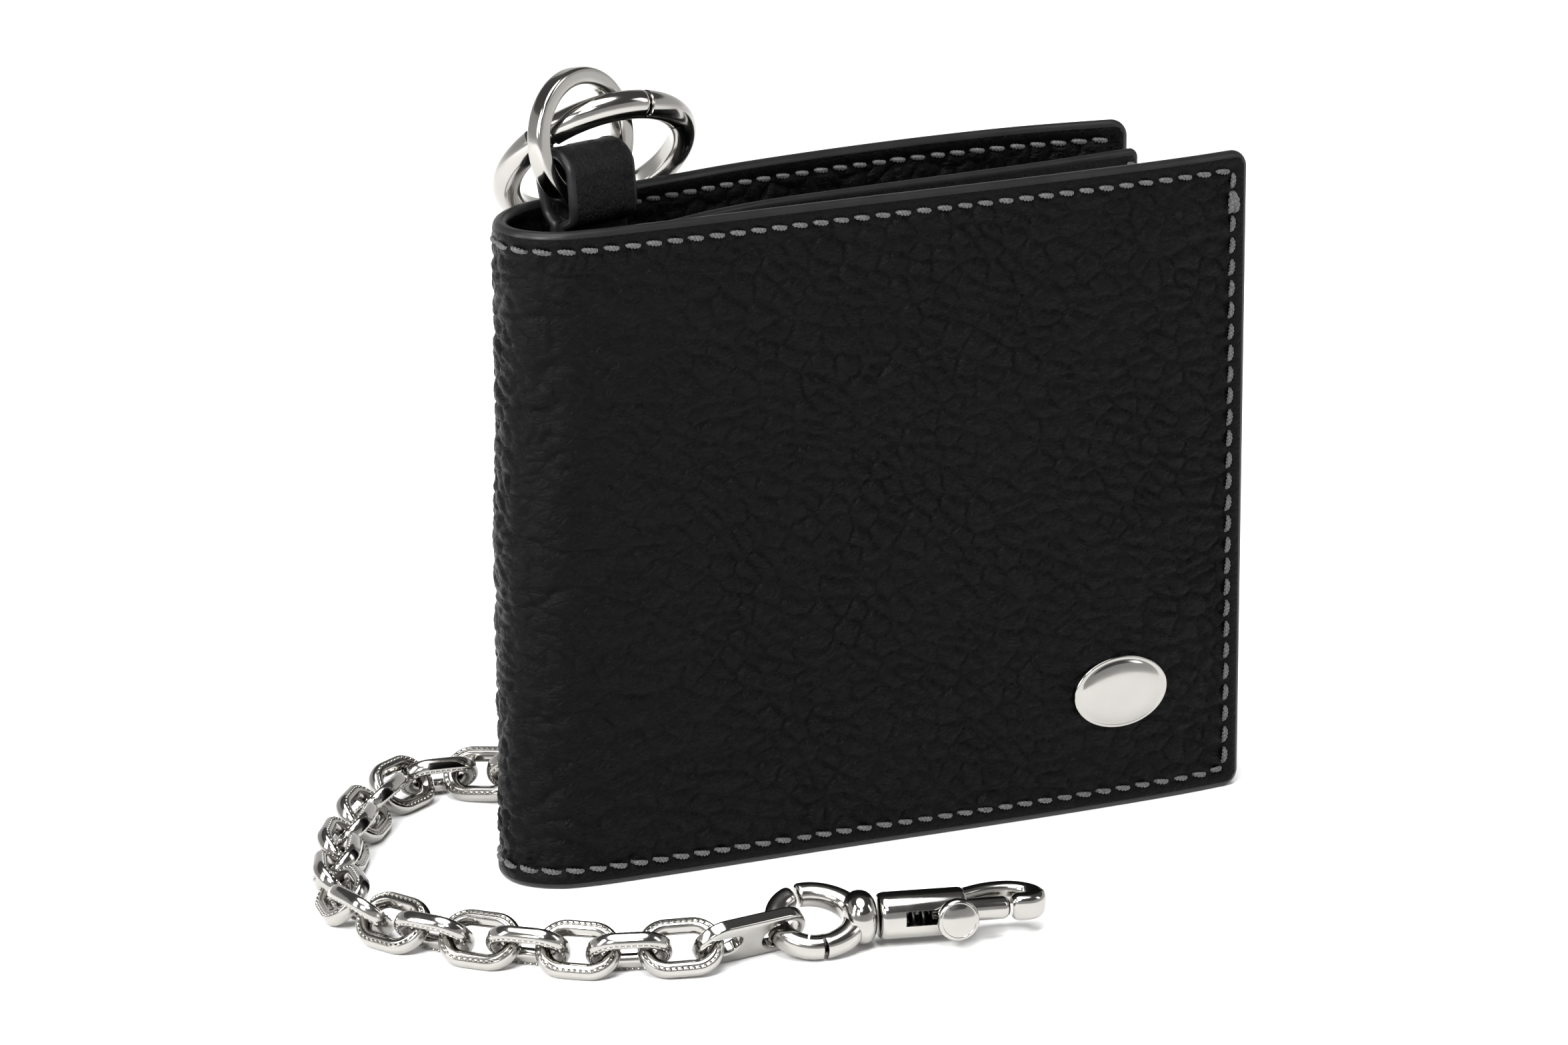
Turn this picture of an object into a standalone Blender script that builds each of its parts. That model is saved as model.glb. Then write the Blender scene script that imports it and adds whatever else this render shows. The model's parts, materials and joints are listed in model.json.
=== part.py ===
"""Chain wallet: a bifold leather wallet that stands slightly open on its bottom edge, with a leather tab,
an O-ring, a spring-gate ring, a link chain and a trigger clip.

Frame: millimetres times MM, +Z up, +X from the fold to the free edges, -Y out of the front cover.
The origin lies on the bottom edge of the back cover, in the middle of its leather.
"""
import math

import bmesh
import bpy
from mathutils import Matrix, Vector

MM = 0.001
ORIGIN = Vector((60.0, 27.0, 0.0))  # middle of the back cover's bottom edge, where the frame's origin is put

# Leather
HEIGHT = 95.0
LEATHER = 2.0
LINER = 1.4
POCKET = 0.8
GAP = 0.35
LINER_TOP = 92.0
LINER_BOTTOM = 2.0
CORNER_RADIUS = 2.5
FOLD_AXIS = Vector((10.0, 1.4))

# Plan curves of the leather, middle of its thickness, from the fold to the free edge
FRONT_PLAN = [(10.35, 1.4), (22, 1.05), (47, 0.9), (78, 0.35), (100, 0.6), (113, 1.6)]
SPINE_PLAN = [(9.65, 1.4), (5.0, 2.6), (1.6, 6.0), (1.2, 10.5), (3.2, 14.6), (7.0, 17.7), (10.65, 19.15)]
BACK_PLAN = [(11.0, 19.3), (22, 21.7), (33, 23.7), (45, 25.7), (60, 27.0), (75, 27.4), (90, 26.7), (106, 24.2)]
BACK_LINER_PLAN = [(24, 10.2), (29, 12.0), (36, 14.1), (45, 15.7), (60, 16.5), (75, 17.0), (90, 17.7), (105, 19.2)]

# Tab and O-ring
TAB_WIDTH = 11.2
TAB_HEADING = 20.0
STRAP = 1.6
STRAP_HOLD = 0.5
O_RING_CENTRE = Vector((15.95, 16.2, 104.0))
O_RING_HEADING = 24.0
O_RING_LEAN = 8.5
O_RING_MID = 8.6
O_RING_RADIAL = 2.5
O_RING_AXIAL = 2.7

# Spring-gate ring
GATE_RING_CENTRE = Vector((21.95, 24.7, 98.3))
GATE_RING_NORMAL = Vector((-0.035, 0.738, 0.673)).normalized()
GATE_RING_MID = 13.1
GATE_RING_RADIAL = 4.1
GATE_RING_AXIAL = 4.1
GATE_FREE_END = 77.0
GATE_HINGE_END = 149.0

# Chain
LINK_LENGTH = 12.0
LINK_WIDTH = 8.5
LINK_WIRE = 2.3
LINK_PITCH = 7.08
LINK_ROLL = 45.0
FLOOR_CENTRE = 3.45
DROP_HEADING = 134.0
DROP_TURN = 13.0
FLOOR_ROUTE = [(7.4, 46.4), (1.6, 45.6), (-3.8, 41.9), (-9.2, 36.0), (-15.3, 28.0), (-21.3, 18.2), (-25.8, 8.2),
               (-27.5, -0.8), (-25.6, -9.0), (-21.4, -16.3), (-15.9, -22.9), (-9.6, -28.8), (-3.0, -33.8)]
CONNECTOR_LENGTH = 17.5
CONNECTOR_THICK = 2.0
UPPER_HOLE = 2.75
LOWER_HOLE = 2.8
SLOT_HALF_WIDTH = 1.75
SLOT_LENGTH = 6.0
CONNECTOR_RIM = 1.1
CONNECTOR_TILT = 33.0
EYE_ANGLE = 193.0

# Clip
CLIP_HEADING = -14.0
CLIP_START = Vector((34.7, -38.7, 4.35))
CLIP_RING_MID = 4.9
CLIP_WIRE = 3.2
CLIP_RING_TILT = 28.0
CLIP_RING_BACK = 9.3
SEGMENT_HINGE_END = 110.0
SEGMENT_FREE_END = 252.0
BARREL_LENGTH = 12.2
BARREL_RADIUS = 3.3
PLUNGER_RADIUS = 1.6
PLUNGER_REACH = 6.4
KNOB_RADIUS = 2.95
KNOB_ELEVATION = 6.0


def material(name, colour, roughness, metallic=0.0):
    mat = bpy.data.materials.new(name)
    mat.use_nodes = True
    shader = mat.node_tree.nodes["Principled BSDF"]
    shader.inputs["Base Color"].default_value = (*colour, 1.0)
    shader.inputs["Roughness"].default_value = roughness
    shader.inputs["Metallic"].default_value = metallic
    return mat


def add_object(name, verts, faces, mat, place=None, smooth=True):
    """Makes one closed mesh object from points in millimetres; place is a matrix in millimetres."""
    place = place or Matrix.Identity(4)
    mesh = bpy.data.meshes.new(name)
    mesh.from_pydata([(place @ Vector(v) - ORIGIN) * MM for v in verts], [], faces)
    bm = bmesh.new()
    bm.from_mesh(mesh)
    bmesh.ops.recalc_face_normals(bm, faces=bm.faces)
    bm.to_mesh(mesh)
    bm.free()
    mesh.materials.append(mat)
    if smooth:
        mesh.shade_smooth()
        mesh.set_sharp_from_angle(angle=math.radians(35))
    obj = bpy.data.objects.new(name, mesh)
    bpy.context.scene.collection.objects.link(obj)
    return obj


def set_origin(obj, point):
    """Moves an object's origin to a point in millimetres and leaves its mesh where it is."""
    shift = (Vector(point) - ORIGIN) * MM
    obj.data.transform(Matrix.Translation(-shift))
    obj.location = shift


def frame_matrix(centre, x_axis, z_axis):
    """A placing matrix whose local X and Z point along the given directions."""
    z = Vector(z_axis).normalized()
    x = Vector(x_axis)
    x = (x - x.dot(z) * z).normalized()
    y = z.cross(x)
    turn = Matrix((x, y, z)).transposed().to_4x4()
    return Matrix.Translation(Vector(centre)) @ turn


def heading(degrees):
    return Vector((math.cos(math.radians(degrees)), math.sin(math.radians(degrees)), 0.0))


def smooth_curve(points, count):
    """Points evenly spaced along a Catmull-Rom curve through the given points."""
    pts = [Vector(p) for p in points]
    pts = [2 * pts[0] - pts[1]] + pts + [2 * pts[-1] - pts[-2]]
    dense = []
    for a, b, c, d in zip(pts, pts[1:], pts[2:], pts[3:]):
        for k in range(40):
            t = k / 40
            dense.append(0.5 * (2 * b + (c - a) * t + (2 * a - 5 * b + 4 * c - d) * t * t
                                + (3 * b - a - 3 * c + d) * t ** 3))
    dense.append(pts[-2])
    lengths = [0.0]
    for a, b in zip(dense, dense[1:]):
        lengths.append(lengths[-1] + (b - a).length)
    even = []
    k = 0
    for i in range(count):
        target = lengths[-1] * i / (count - 1)
        while k < len(lengths) - 2 and lengths[k + 1] < target:
            k += 1
        part = (target - lengths[k]) / (lengths[k + 1] - lengths[k])
        even.append(dense[k].lerp(dense[k + 1], part))
    return even


def leather_sheet(name, plan, thickness, low, high, mat, offset=0.0, count=24, radius=0.0, span=(0.0, 1.0)):
    """A standing sheet of leather: a plan curve given thickness, with its far corners rounded."""
    line = smooth_curve(plan, 200)
    total = sum((b - a).length for a, b in zip(line, line[1:]))
    start, end = span[0] * total, span[1] * total
    stations = [start + (end - radius - start) * i / count for i in range(count + 1)]
    stations += [end - radius * (1 - math.sin(math.radians(a))) for a in (30, 60, 80, 90)] if radius else []
    verts = []
    for s in stations:
        k = min(int(s / total * 199), 198)
        part = s / total * 199 - k
        point = line[k].lerp(line[k + 1], part)
        along = (line[k + 1] - line[k]).normalized()
        side = Vector((-along.y, along.x))
        centre = point + side * offset
        over = max(0.0, s - (end - radius))
        rise = radius - math.sqrt(max(radius * radius - over * over, 0.0)) if radius else 0.0
        for half in (-thickness / 2, thickness / 2):
            edge = centre + side * half
            verts += [(edge.x, edge.y, low + rise), (edge.x, edge.y, high - rise)]
    faces = [(0, 1, 3, 2)]
    for i in range(len(stations) - 1):
        a, b = 4 * i, 4 * i + 4
        faces += [(a, b, b + 1, a + 1), (a + 2, a + 3, b + 3, b + 2), (a, a + 2, b + 2, b), (a + 1, b + 1, b + 3, a + 3)]
    last = 4 * (len(stations) - 1)
    faces.append((last, last + 2, last + 3, last + 1))
    return add_object(name, verts, faces, mat)


def round_section(radial, axial, sides):
    """The section of a wire: an ellipse-like outline of the given size."""
    return [(radial / 2 * math.cos(2 * math.pi * i / sides), axial / 2 * math.sin(2 * math.pi * i / sides))
            for i in range(sides)]


def sweep(path, section, closed):
    """Sweeps a section along a flat path in local XY; the section's first number points away from the left."""
    count = len(path)
    verts = []
    for i, point in enumerate(path):
        before = path[i - 1] if closed or i else path[i]
        after = path[(i + 1) % count] if closed or i < count - 1 else path[i]
        into, out = (point - before), (after - point)
        along = (into.normalized() + out.normalized()).normalized()
        side = Vector((along.y, -along.x))
        stretch = 1.0
        if into.length and out.length:
            stretch = 1.0 / max(0.5, along.dot(out.normalized()))
        for a, b in section:
            verts.append((point.x + side.x * a * stretch, point.y + side.y * a * stretch, b))
    sides = len(section)
    faces = []
    for i in range(count if closed else count - 1):
        base, nxt = i * sides, ((i + 1) % count) * sides
        for k in range(sides):
            other = (k + 1) % sides
            faces.append((base + k, base + other, nxt + other, nxt + k))
    if not closed:
        faces.append(tuple(range(sides)))
        faces.append(tuple((count - 1) * sides + k for k in reversed(range(sides))))
    return verts, faces


def arc(radius, start, end, count):
    return [Vector((radius * math.cos(math.radians(start + (end - start) * i / count)),
                    radius * math.sin(math.radians(start + (end - start) * i / count)))) for i in range(count + 1)]


def turned(profile, sides=20):
    """A turned solid about local X from a profile of (x, radius), closed at both ends."""
    verts = []
    for x, radius in profile:
        for i in range(sides):
            angle = 2 * math.pi * i / sides
            verts.append((x, radius * math.cos(angle), radius * math.sin(angle)))
    faces = []
    for k in range(len(profile) - 1):
        for i in range(sides):
            j = (i + 1) % sides
            faces.append((k * sides + i, k * sides + j, (k + 1) * sides + j, (k + 1) * sides + i))
    faces.append(tuple(range(sides)))
    faces.append(tuple((len(profile) - 1) * sides + i for i in reversed(range(sides))))
    return verts, faces


def cut(target, cutter):
    """Cuts one object with another and removes the cutter."""
    modifier = target.modifiers.new("cut", "BOOLEAN")
    modifier.operation = "DIFFERENCE"
    modifier.solver = "EXACT"
    modifier.object = cutter
    cutter.hide_render = True
    cutter.display_type = "WIRE"


def join_solid(target, tool):
    """Unites a helper solid with the target."""
    modifier = target.modifiers.new("join", "BOOLEAN")
    modifier.operation = "UNION"
    modifier.solver = "EXACT"
    modifier.object = tool
    tool.hide_render = True
    tool.display_type = "WIRE"


# ---------------------------------------------------------------- leather

def build_back_half(leather, lining):
    leather_sheet("back_cover", BACK_PLAN, LEATHER, 0, HEIGHT, leather, radius=CORNER_RADIUS)
    leather_sheet("spine_cover", SPINE_PLAN, LEATHER, 0, HEIGHT, leather, count=14)
    leather_sheet("back_liner", BACK_LINER_PLAN, LINER, LINER_BOTTOM, LINER_TOP, lining, radius=CORNER_RADIUS)
    step = (LINER + POCKET) / 2 + GAP
    for number, (top, start) in enumerate([(72, 0.06), (58, 0.09), (44, 0.12)]):
        leather_sheet(f"back_card_pocket_{number + 1}", BACK_LINER_PLAN, POCKET, LINER_BOTTOM + 3, top, lining,
                      offset=-step - number * (POCKET + GAP), span=(start, 0.985))


def build_front_half(leather, lining):
    names = []
    front = leather_sheet("front_cover", FRONT_PLAN, LEATHER, 0, HEIGHT, leather, radius=CORNER_RADIUS)
    names.append(front)
    offset = (LEATHER + LINER) / 2 + GAP
    names.append(leather_sheet("front_liner", FRONT_PLAN, LINER, LINER_BOTTOM, LINER_TOP, lining,
                               offset=offset, span=(0.07, 0.985), radius=CORNER_RADIUS))
    step = offset + (LINER + POCKET) / 2 + GAP
    for number, top in enumerate((72, 58, 44)):
        names.append(leather_sheet(f"front_card_pocket_{number + 1}", FRONT_PLAN, POCKET, LINER_BOTTOM + 3, top, lining,
                                   offset=step + number * (POCKET + GAP), span=(0.12 + 0.02 * number, 0.97)))
    for obj in names:
        set_origin(obj, (FOLD_AXIS.x, FOLD_AXIS.y, 0))


def build_emblem(metal):
    """A plain domed oval plate on the front cover's lower free corner."""
    half_x, half_z, rise = 7.5, 5.3, 1.3
    rings = [(1.0, 0.0), (1.0, 0.5), (0.86, 0.95), (0.55, 1.2), (0.2, rise)]
    sides = 24
    verts = []
    for scale, out in rings:
        for i in range(sides):
            angle = 2 * math.pi * i / sides
            verts.append((half_x * scale * math.cos(angle), -out, half_z * scale * math.sin(angle)))
    faces = []
    for k in range(len(rings) - 1):
        for i in range(sides):
            j = (i + 1) % sides
            faces.append((k * sides + i, k * sides + j, (k + 1) * sides + j, (k + 1) * sides + i))
    faces.append(tuple(reversed(range(sides))))
    faces.append(tuple((len(rings) - 1) * sides + i for i in range(sides)))
    place = Matrix.Translation((92.5, -0.95, 17.6)) @ Matrix.Rotation(math.radians(0.7), 4, "Z")
    emblem = add_object("emblem_plate", verts, faces, metal, place)
    set_origin(emblem, (FOLD_AXIS.x, FOLD_AXIS.y, 0))


def o_ring_axes():
    flat = heading(O_RING_HEADING)
    lean = math.radians(O_RING_LEAN)
    normal = Vector((flat.y * math.cos(lean), -flat.x * math.cos(lean), math.sin(lean)))
    return flat, normal


def build_tab(leather):
    """A strap folded over the O-ring: its legs part round the ring and meet below it."""
    ring_flat, ring_normal = o_ring_axes()
    down = ring_flat.cross(ring_normal).normalized()
    if down.z > 0:
        down = -down
    flat = heading(TAB_HEADING)
    back = Vector((-flat.y, flat.x, 0.0))
    reach = O_RING_MID + O_RING_RADIAL / 2
    low = O_RING_CENTRE + down * reach
    fold = O_RING_CENTRE + down * (reach - 5.4)
    inner_half = O_RING_AXIAL / 2 + STRAP_HOLD + 0.5
    outer_half = inner_half + STRAP
    outer, inner = [], []
    for angle in (0, 36, 72, 108, 144, 180):
        c, s = math.cos(math.radians(angle)), math.sin(math.radians(angle))
        outer.append(fold + back * (outer_half * c) + Vector((0, 0, outer_half * s)))
        inner.append(fold + back * (inner_half * c) + Vector((0, 0, inner_half * s)))
    hold = O_RING_AXIAL / 2 + STRAP_HOLD
    foot = Vector((low.x, low.y, 85.0))
    hem = Vector((low.x, low.y, 62.0))
    throat = Vector((low.x, low.y, 90.0))
    outer += [low - back * (hold + STRAP), foot - back * STRAP, hem - back * STRAP,
              hem + back * STRAP, foot + back * STRAP, low + back * (hold + STRAP)]
    inner += [low - back * hold, throat - back * 0.5, throat - back * 0.2,
              throat + back * 0.2, throat + back * 0.5, low + back * hold]
    verts, faces = [], []
    for side in (-TAB_WIDTH / 2 + 0.3, TAB_WIDTH / 2 + 0.3):
        verts += [tuple(p + flat * side) for p in outer]
        verts += [tuple(p + flat * side) for p in inner]
    n = len(outer)
    for i in range(n):
        j = (i + 1) % n
        faces += [(i, j, n + j, n + i), (2 * n + i, 3 * n + i, 3 * n + j, 2 * n + j),
                  (i, 2 * n + i, 2 * n + j, j), (n + i, n + j, 3 * n + j, 3 * n + i)]
    add_object("tab_strap", verts, faces, leather)


# ---------------------------------------------------------------- rings

def build_o_ring(metal):
    flat, normal = o_ring_axes()
    place = frame_matrix(O_RING_CENTRE, flat, normal)
    verts, faces = sweep(arc(O_RING_MID, 0, 360, 28)[:-1], round_section(O_RING_RADIAL, O_RING_AXIAL, 6), True)
    ring = add_object("o_ring", verts, faces, metal, place)
    down = place.to_3x3() @ Vector((0, -1, 0))
    set_origin(ring, O_RING_CENTRE + down * O_RING_MID)


def ring_axes():
    """The gate ring's own axes: across it, up its near side, and its normal."""
    normal = GATE_RING_NORMAL
    across = Vector((normal.y, -normal.x, 0)).normalized()
    rise = across.cross(normal)
    if rise.z < 0:
        rise = -rise
    return across, rise, across.cross(rise)


def build_gate_ring(metal):
    across, rise, normal = ring_axes()
    place = frame_matrix(GATE_RING_CENTRE, across, normal)
    section = round_section(GATE_RING_RADIAL, GATE_RING_AXIAL, 8)
    gap = 1.6
    verts, faces = sweep(arc(GATE_RING_MID, GATE_HINGE_END + gap, 360 + GATE_FREE_END - gap, 32), section, False)
    body = add_object("gate_ring", verts, faces, metal, place)
    verts, faces = sweep(arc(GATE_RING_MID, GATE_FREE_END, GATE_HINGE_END, 9), section, False)
    gate = add_object("gate_ring_gate", verts, faces, metal, place)
    crossing = math.radians(107)
    set_origin(body, GATE_RING_CENTRE + across * GATE_RING_MID * math.cos(crossing) + rise * GATE_RING_MID * math.sin(crossing))
    hinge = math.radians(GATE_HINGE_END)
    set_origin(gate, GATE_RING_CENTRE + across * GATE_RING_MID * math.cos(hinge) + rise * GATE_RING_MID * math.sin(hinge))


# ---------------------------------------------------------------- chain

def link_outline():
    """The middle line of a link's wire: straight sides and rounded ends, in local XY along X."""
    half_width = (LINK_WIDTH - LINK_WIRE) / 2
    straight = (LINK_LENGTH - LINK_WIRE) / 2 - half_width
    points = []
    for centre, start in ((straight, -90), (-straight, 90)):
        for i in range(6):
            angle = math.radians(start + 36 * i)
            reach = half_width / (1.0 if i in (0, 5) else math.cos(math.radians(18)))
            points.append(Vector((centre + reach * math.cos(angle), reach * math.sin(angle))))
    return points


def connector_top():
    """Where the upper connector's ring hole and its slot stand, and its plate's middle."""
    across, rise, _ = ring_axes()
    eye = GATE_RING_CENTRE - rise * GATE_RING_MID
    half = CONNECTOR_LENGTH / 2
    centre = eye - Vector((0, 0, half - UPPER_HOLE - CONNECTOR_RIM))
    return eye, centre, across


def clip_axes():
    """The clip's own axes: along it, away from the viewer's side, and up."""
    along = heading(CLIP_HEADING)
    away = Vector((-along.y, along.x, 0.0))
    return along, away, Vector((0, 0, 1))


def clip_ring_frame():
    along, away, up = clip_axes()
    tilt = math.radians(CLIP_RING_TILT)
    across = away * math.cos(tilt) + up * math.sin(tilt)
    centre = CLIP_START - along * CLIP_RING_BACK
    return centre, along, across


def connector_bottom():
    """The lower connector: its eye on the clip ring's far side and the way its plate runs."""
    along, away, up = clip_axes()
    centre, _, across = clip_ring_frame()
    place = math.radians(EYE_ANGLE)
    eye = centre + (along * math.cos(place) + across * math.sin(place)) * CLIP_RING_MID
    run = Vector((-0.989, -0.145, 0.0)).normalized()
    tilt = math.radians(CONNECTOR_TILT)
    face = away * math.cos(tilt) + up * math.sin(tilt)
    normal = (face - face.dot(run) * run).normalized()
    half = CONNECTOR_LENGTH / 2
    plate = eye + run * (half - LOWER_HOLE - CONNECTOR_RIM)
    return eye, plate, run, normal


def link_start(middle, run):
    """The bending point of the chain's end link, whose wire sits in a connector's slot."""
    rim = middle + run * (CONNECTOR_LENGTH - CONNECTOR_RIM) / 2
    wire = rim - run * ((CONNECTOR_RIM + LINK_WIRE) / 2 + 2.3 * GAP)
    return wire + run * (LINK_LENGTH - LINK_WIRE - LINK_PITCH) / 2


def chain_joints():
    """The points where the chain bends, evenly spaced from the upper to the lower connector."""
    _, top, _ = connector_top()
    _, plate, run, _ = connector_bottom()
    first = link_start(top, Vector((0, 0, -1)))
    last = link_start(plate, run)
    drop = heading(DROP_HEADING)
    corner = Vector((first.x, first.y, FLOOR_CENTRE + DROP_TURN))
    route = [first.lerp(corner, t) for t in (0.0, 0.3, 0.6, 0.85, 1.0)]
    for angle in (30, 60, 90):
        a = math.radians(angle)
        route.append(corner + drop * DROP_TURN * (1 - math.cos(a)) - Vector((0, 0, DROP_TURN * math.sin(a))))
    route += [Vector((x, y, FLOOR_CENTRE)) for x, y in FLOOR_ROUTE] + [last]
    dense = smooth_curve(route, 1500)
    total = sum((b - a).length for a, b in zip(dense, dense[1:]))
    links = 2 * round((total / LINK_PITCH - 1) / 2) + 1
    return smooth_curve(route, links + 1), drop


def link_frames():
    """Each link's middle, direction, normal, and the sideways and upward directions of its run."""
    joints, drop = chain_joints()
    frames = []
    for i, (start, end) in enumerate(zip(joints, joints[1:])):
        along = (end - start).normalized()
        flat = Vector((along.x, along.y, 0))
        ahead = flat.normalized() if flat.length > 0.35 else drop
        side = Vector((-ahead.y, ahead.x, 0))
        upward = along.cross(side).normalized()
        roll = math.radians(-LINK_ROLL if i % 2 else LINK_ROLL)
        normal = side * math.sin(roll) - upward * math.cos(roll)
        frames.append(((start + end) / 2, along, normal, side, upward))
    return frames


def build_chain(metal):
    outline = link_outline()
    section = round_section(LINK_WIRE, LINK_WIRE, 6)
    verts, faces = sweep(outline, section, True)
    joints, _ = chain_joints()
    for i, (middle, along, normal, _, _) in enumerate(link_frames()):
        link = add_object(f"chain_link_{i + 1:02d}", verts, faces, metal, frame_matrix(middle, along, normal))
        set_origin(link, joints[i])


def build_connector(name, middle, run, normal, hole, metal):
    """A long flat link: an eye for the ring at one end and a slot for the chain at the other."""
    half_width = max(hole, SLOT_HALF_WIDTH) + CONNECTOR_RIM
    straight = CONNECTOR_LENGTH / 2 - half_width
    corners = 6
    outline = []
    for centre, start in ((straight, -90), (-straight, 90)):
        for i in range(corners + 1):
            angle = math.radians(start + 180 * i / corners)
            outline.append(Vector((centre + half_width * math.cos(angle), half_width * math.sin(angle))))
    place = frame_matrix(middle, run, normal)
    plate = prism(name, outline, CONNECTOR_THICK, metal, place)
    eye = Vector((-(CONNECTOR_LENGTH / 2 - hole - CONNECTOR_RIM), 0))
    round_hole = [eye + Vector((hole * math.cos(math.radians(a)), hole * math.sin(math.radians(a)))) for a in range(0, 360, 30)]
    cut(plate, prism(name + "_eye_cutter", round_hole, CONNECTOR_THICK * 2, metal, place))
    slot_end = CONNECTOR_LENGTH / 2 - CONNECTOR_RIM - SLOT_HALF_WIDTH
    slot = []
    for centre, start in ((slot_end, -90), (slot_end - SLOT_LENGTH + 2 * SLOT_HALF_WIDTH, 90)):
        for i in range(5):
            angle = math.radians(start + 45 * i)
            slot.append(Vector((centre + SLOT_HALF_WIDTH * math.cos(angle), SLOT_HALF_WIDTH * math.sin(angle))))
    cut(plate, prism(name + "_slot_cutter", slot, CONNECTOR_THICK * 2, metal, place))
    return plate


def prism(name, outline, thickness, mat, place):
    n = len(outline)
    verts = [(p.x, p.y, -thickness / 2) for p in outline] + [(p.x, p.y, thickness / 2) for p in outline]
    faces = [tuple(reversed(range(n))), tuple(range(n, 2 * n))]
    faces += [(i, (i + 1) % n, n + (i + 1) % n, n + i) for i in range(n)]
    return add_object(name, verts, faces, mat, place)


def build_connectors(metal):
    eye, middle, across = connector_top()
    upper = build_connector("chain_connector_upper", middle, Vector((0, 0, -1)), across, UPPER_HOLE, metal)
    set_origin(upper, eye)
    eye, middle, run, normal = connector_bottom()
    lower = build_connector("chain_connector_lower", middle, -run, normal, LOWER_HOLE, metal)
    set_origin(lower, middle)


# ---------------------------------------------------------------- clip

def build_clip(metal, steel):
    along, away, up = clip_axes()
    centre, _, across = clip_ring_frame()
    ring_place = frame_matrix(centre, along, along.cross(across))
    section = round_section(CLIP_WIRE, CLIP_WIRE, 8)
    verts, faces = sweep(arc(CLIP_RING_MID, SEGMENT_FREE_END - 360 + 5.0, SEGMENT_HINGE_END - 5.0, 18), section, False)
    ring = add_object("clip_ring", verts, faces, metal, ring_place)
    place = frame_matrix(CLIP_START, along, up)
    ball = [(-4.6, 1.4), (-4.2, 2.9), (-3.4, 3.65), (-2.3, 3.8), (-1.2, 3.45), (-0.35, 2.2)]
    verts, faces = turned(ball, 16)
    join_solid(ring, add_object("clip_ring_ball_tool", verts, faces, metal, place))
    verts, faces = sweep(arc(CLIP_RING_MID, SEGMENT_HINGE_END, SEGMENT_FREE_END, 12), section, False)
    gate = add_object("clip_ring_gate", verts, faces, metal, ring_place)
    hinge = math.radians(SEGMENT_HINGE_END)
    set_origin(gate, centre + along * CLIP_RING_MID * math.cos(hinge) + across * CLIP_RING_MID * math.sin(hinge))
    build_hook(metal, steel, place)


def build_hook(metal, steel, place):
    """The barrel with its slot and hook arm, and the plunger, knob and spring that it holds."""
    bore = PLUNGER_RADIUS + GAP
    barrel = [(0.0, BARREL_RADIUS - 0.4), (0.4, BARREL_RADIUS), (BARREL_LENGTH - 0.4, BARREL_RADIUS),
              (BARREL_LENGTH, BARREL_RADIUS - 0.4)]
    verts, faces = turned(barrel, 24)
    body = add_object("clip_hook", verts, faces, metal, place)
    arm_side = Vector((0, math.cos(math.radians(8)), math.sin(math.radians(8))))
    path = [Vector(p) for p in ((9.5, 1.9), (12.7, 3.1), (16.0, 4.2), (19.4, 4.3), (21.9, 3.0), (22.6, 1.0),
                                (21.6, -0.2), (19.2, -0.2))]
    path = smooth_curve(path, 16)
    verts, faces = sweep(path, round_section(2.5, 3.2, 8), False)
    arm_place = place @ frame_matrix((0, 0, 0), (1, 0, 0), Vector((1, 0, 0)).cross(arm_side))
    join_solid(body, add_object("clip_arm_tool", verts, faces, metal, arm_place))
    verts, faces = turned([(0.9, bore), (BARREL_LENGTH + 4.4, bore)], 16)
    cut(body, add_object("clip_bore_cutter", verts, faces, metal, place))
    stem = Vector((0, -math.cos(math.radians(KNOB_ELEVATION)), math.sin(math.radians(KNOB_ELEVATION))))
    stem_place = place @ frame_matrix((0, 0, 0), (1, 0, 0), stem)
    slot = [Vector((x, y)) for x, y in ((3.8, -1.05), (11.2, -1.05), (11.2, 1.05), (3.8, 1.05))]
    slot_cutter = prism("clip_slot_cutter", slot, 6.0, metal, stem_place @ Matrix.Translation((0, 0, 3.0)))
    cut(body, slot_cutter)
    rod = [(7.2, PLUNGER_RADIUS - 0.2), (7.4, PLUNGER_RADIUS), (BARREL_LENGTH + PLUNGER_REACH - 0.3, PLUNGER_RADIUS),
           (BARREL_LENGTH + PLUNGER_REACH, PLUNGER_RADIUS - 0.3)]
    verts, faces = turned(rod, 16)
    plunger = add_object("clip_plunger", verts, faces, metal, place)
    post = turned([(PLUNGER_RADIUS * 0.5, 0.75), (BARREL_RADIUS + 0.65, 0.75)], 10)
    post_place = place @ frame_matrix((10.2, 0, 0), stem, Vector((1, 0, 0)))
    join_solid(plunger, add_object("clip_post_tool", *post, metal, post_place))
    start = BARREL_RADIUS + 0.95
    knob = turned([(start, KNOB_RADIUS - 0.25), (start + 0.25, KNOB_RADIUS), (start + 1.55, KNOB_RADIUS),
                   (start + 1.8, KNOB_RADIUS - 0.25)], 24)
    add_object("clip_thumb_knob", *knob, metal, post_place)
    build_spring(steel, place)


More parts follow.
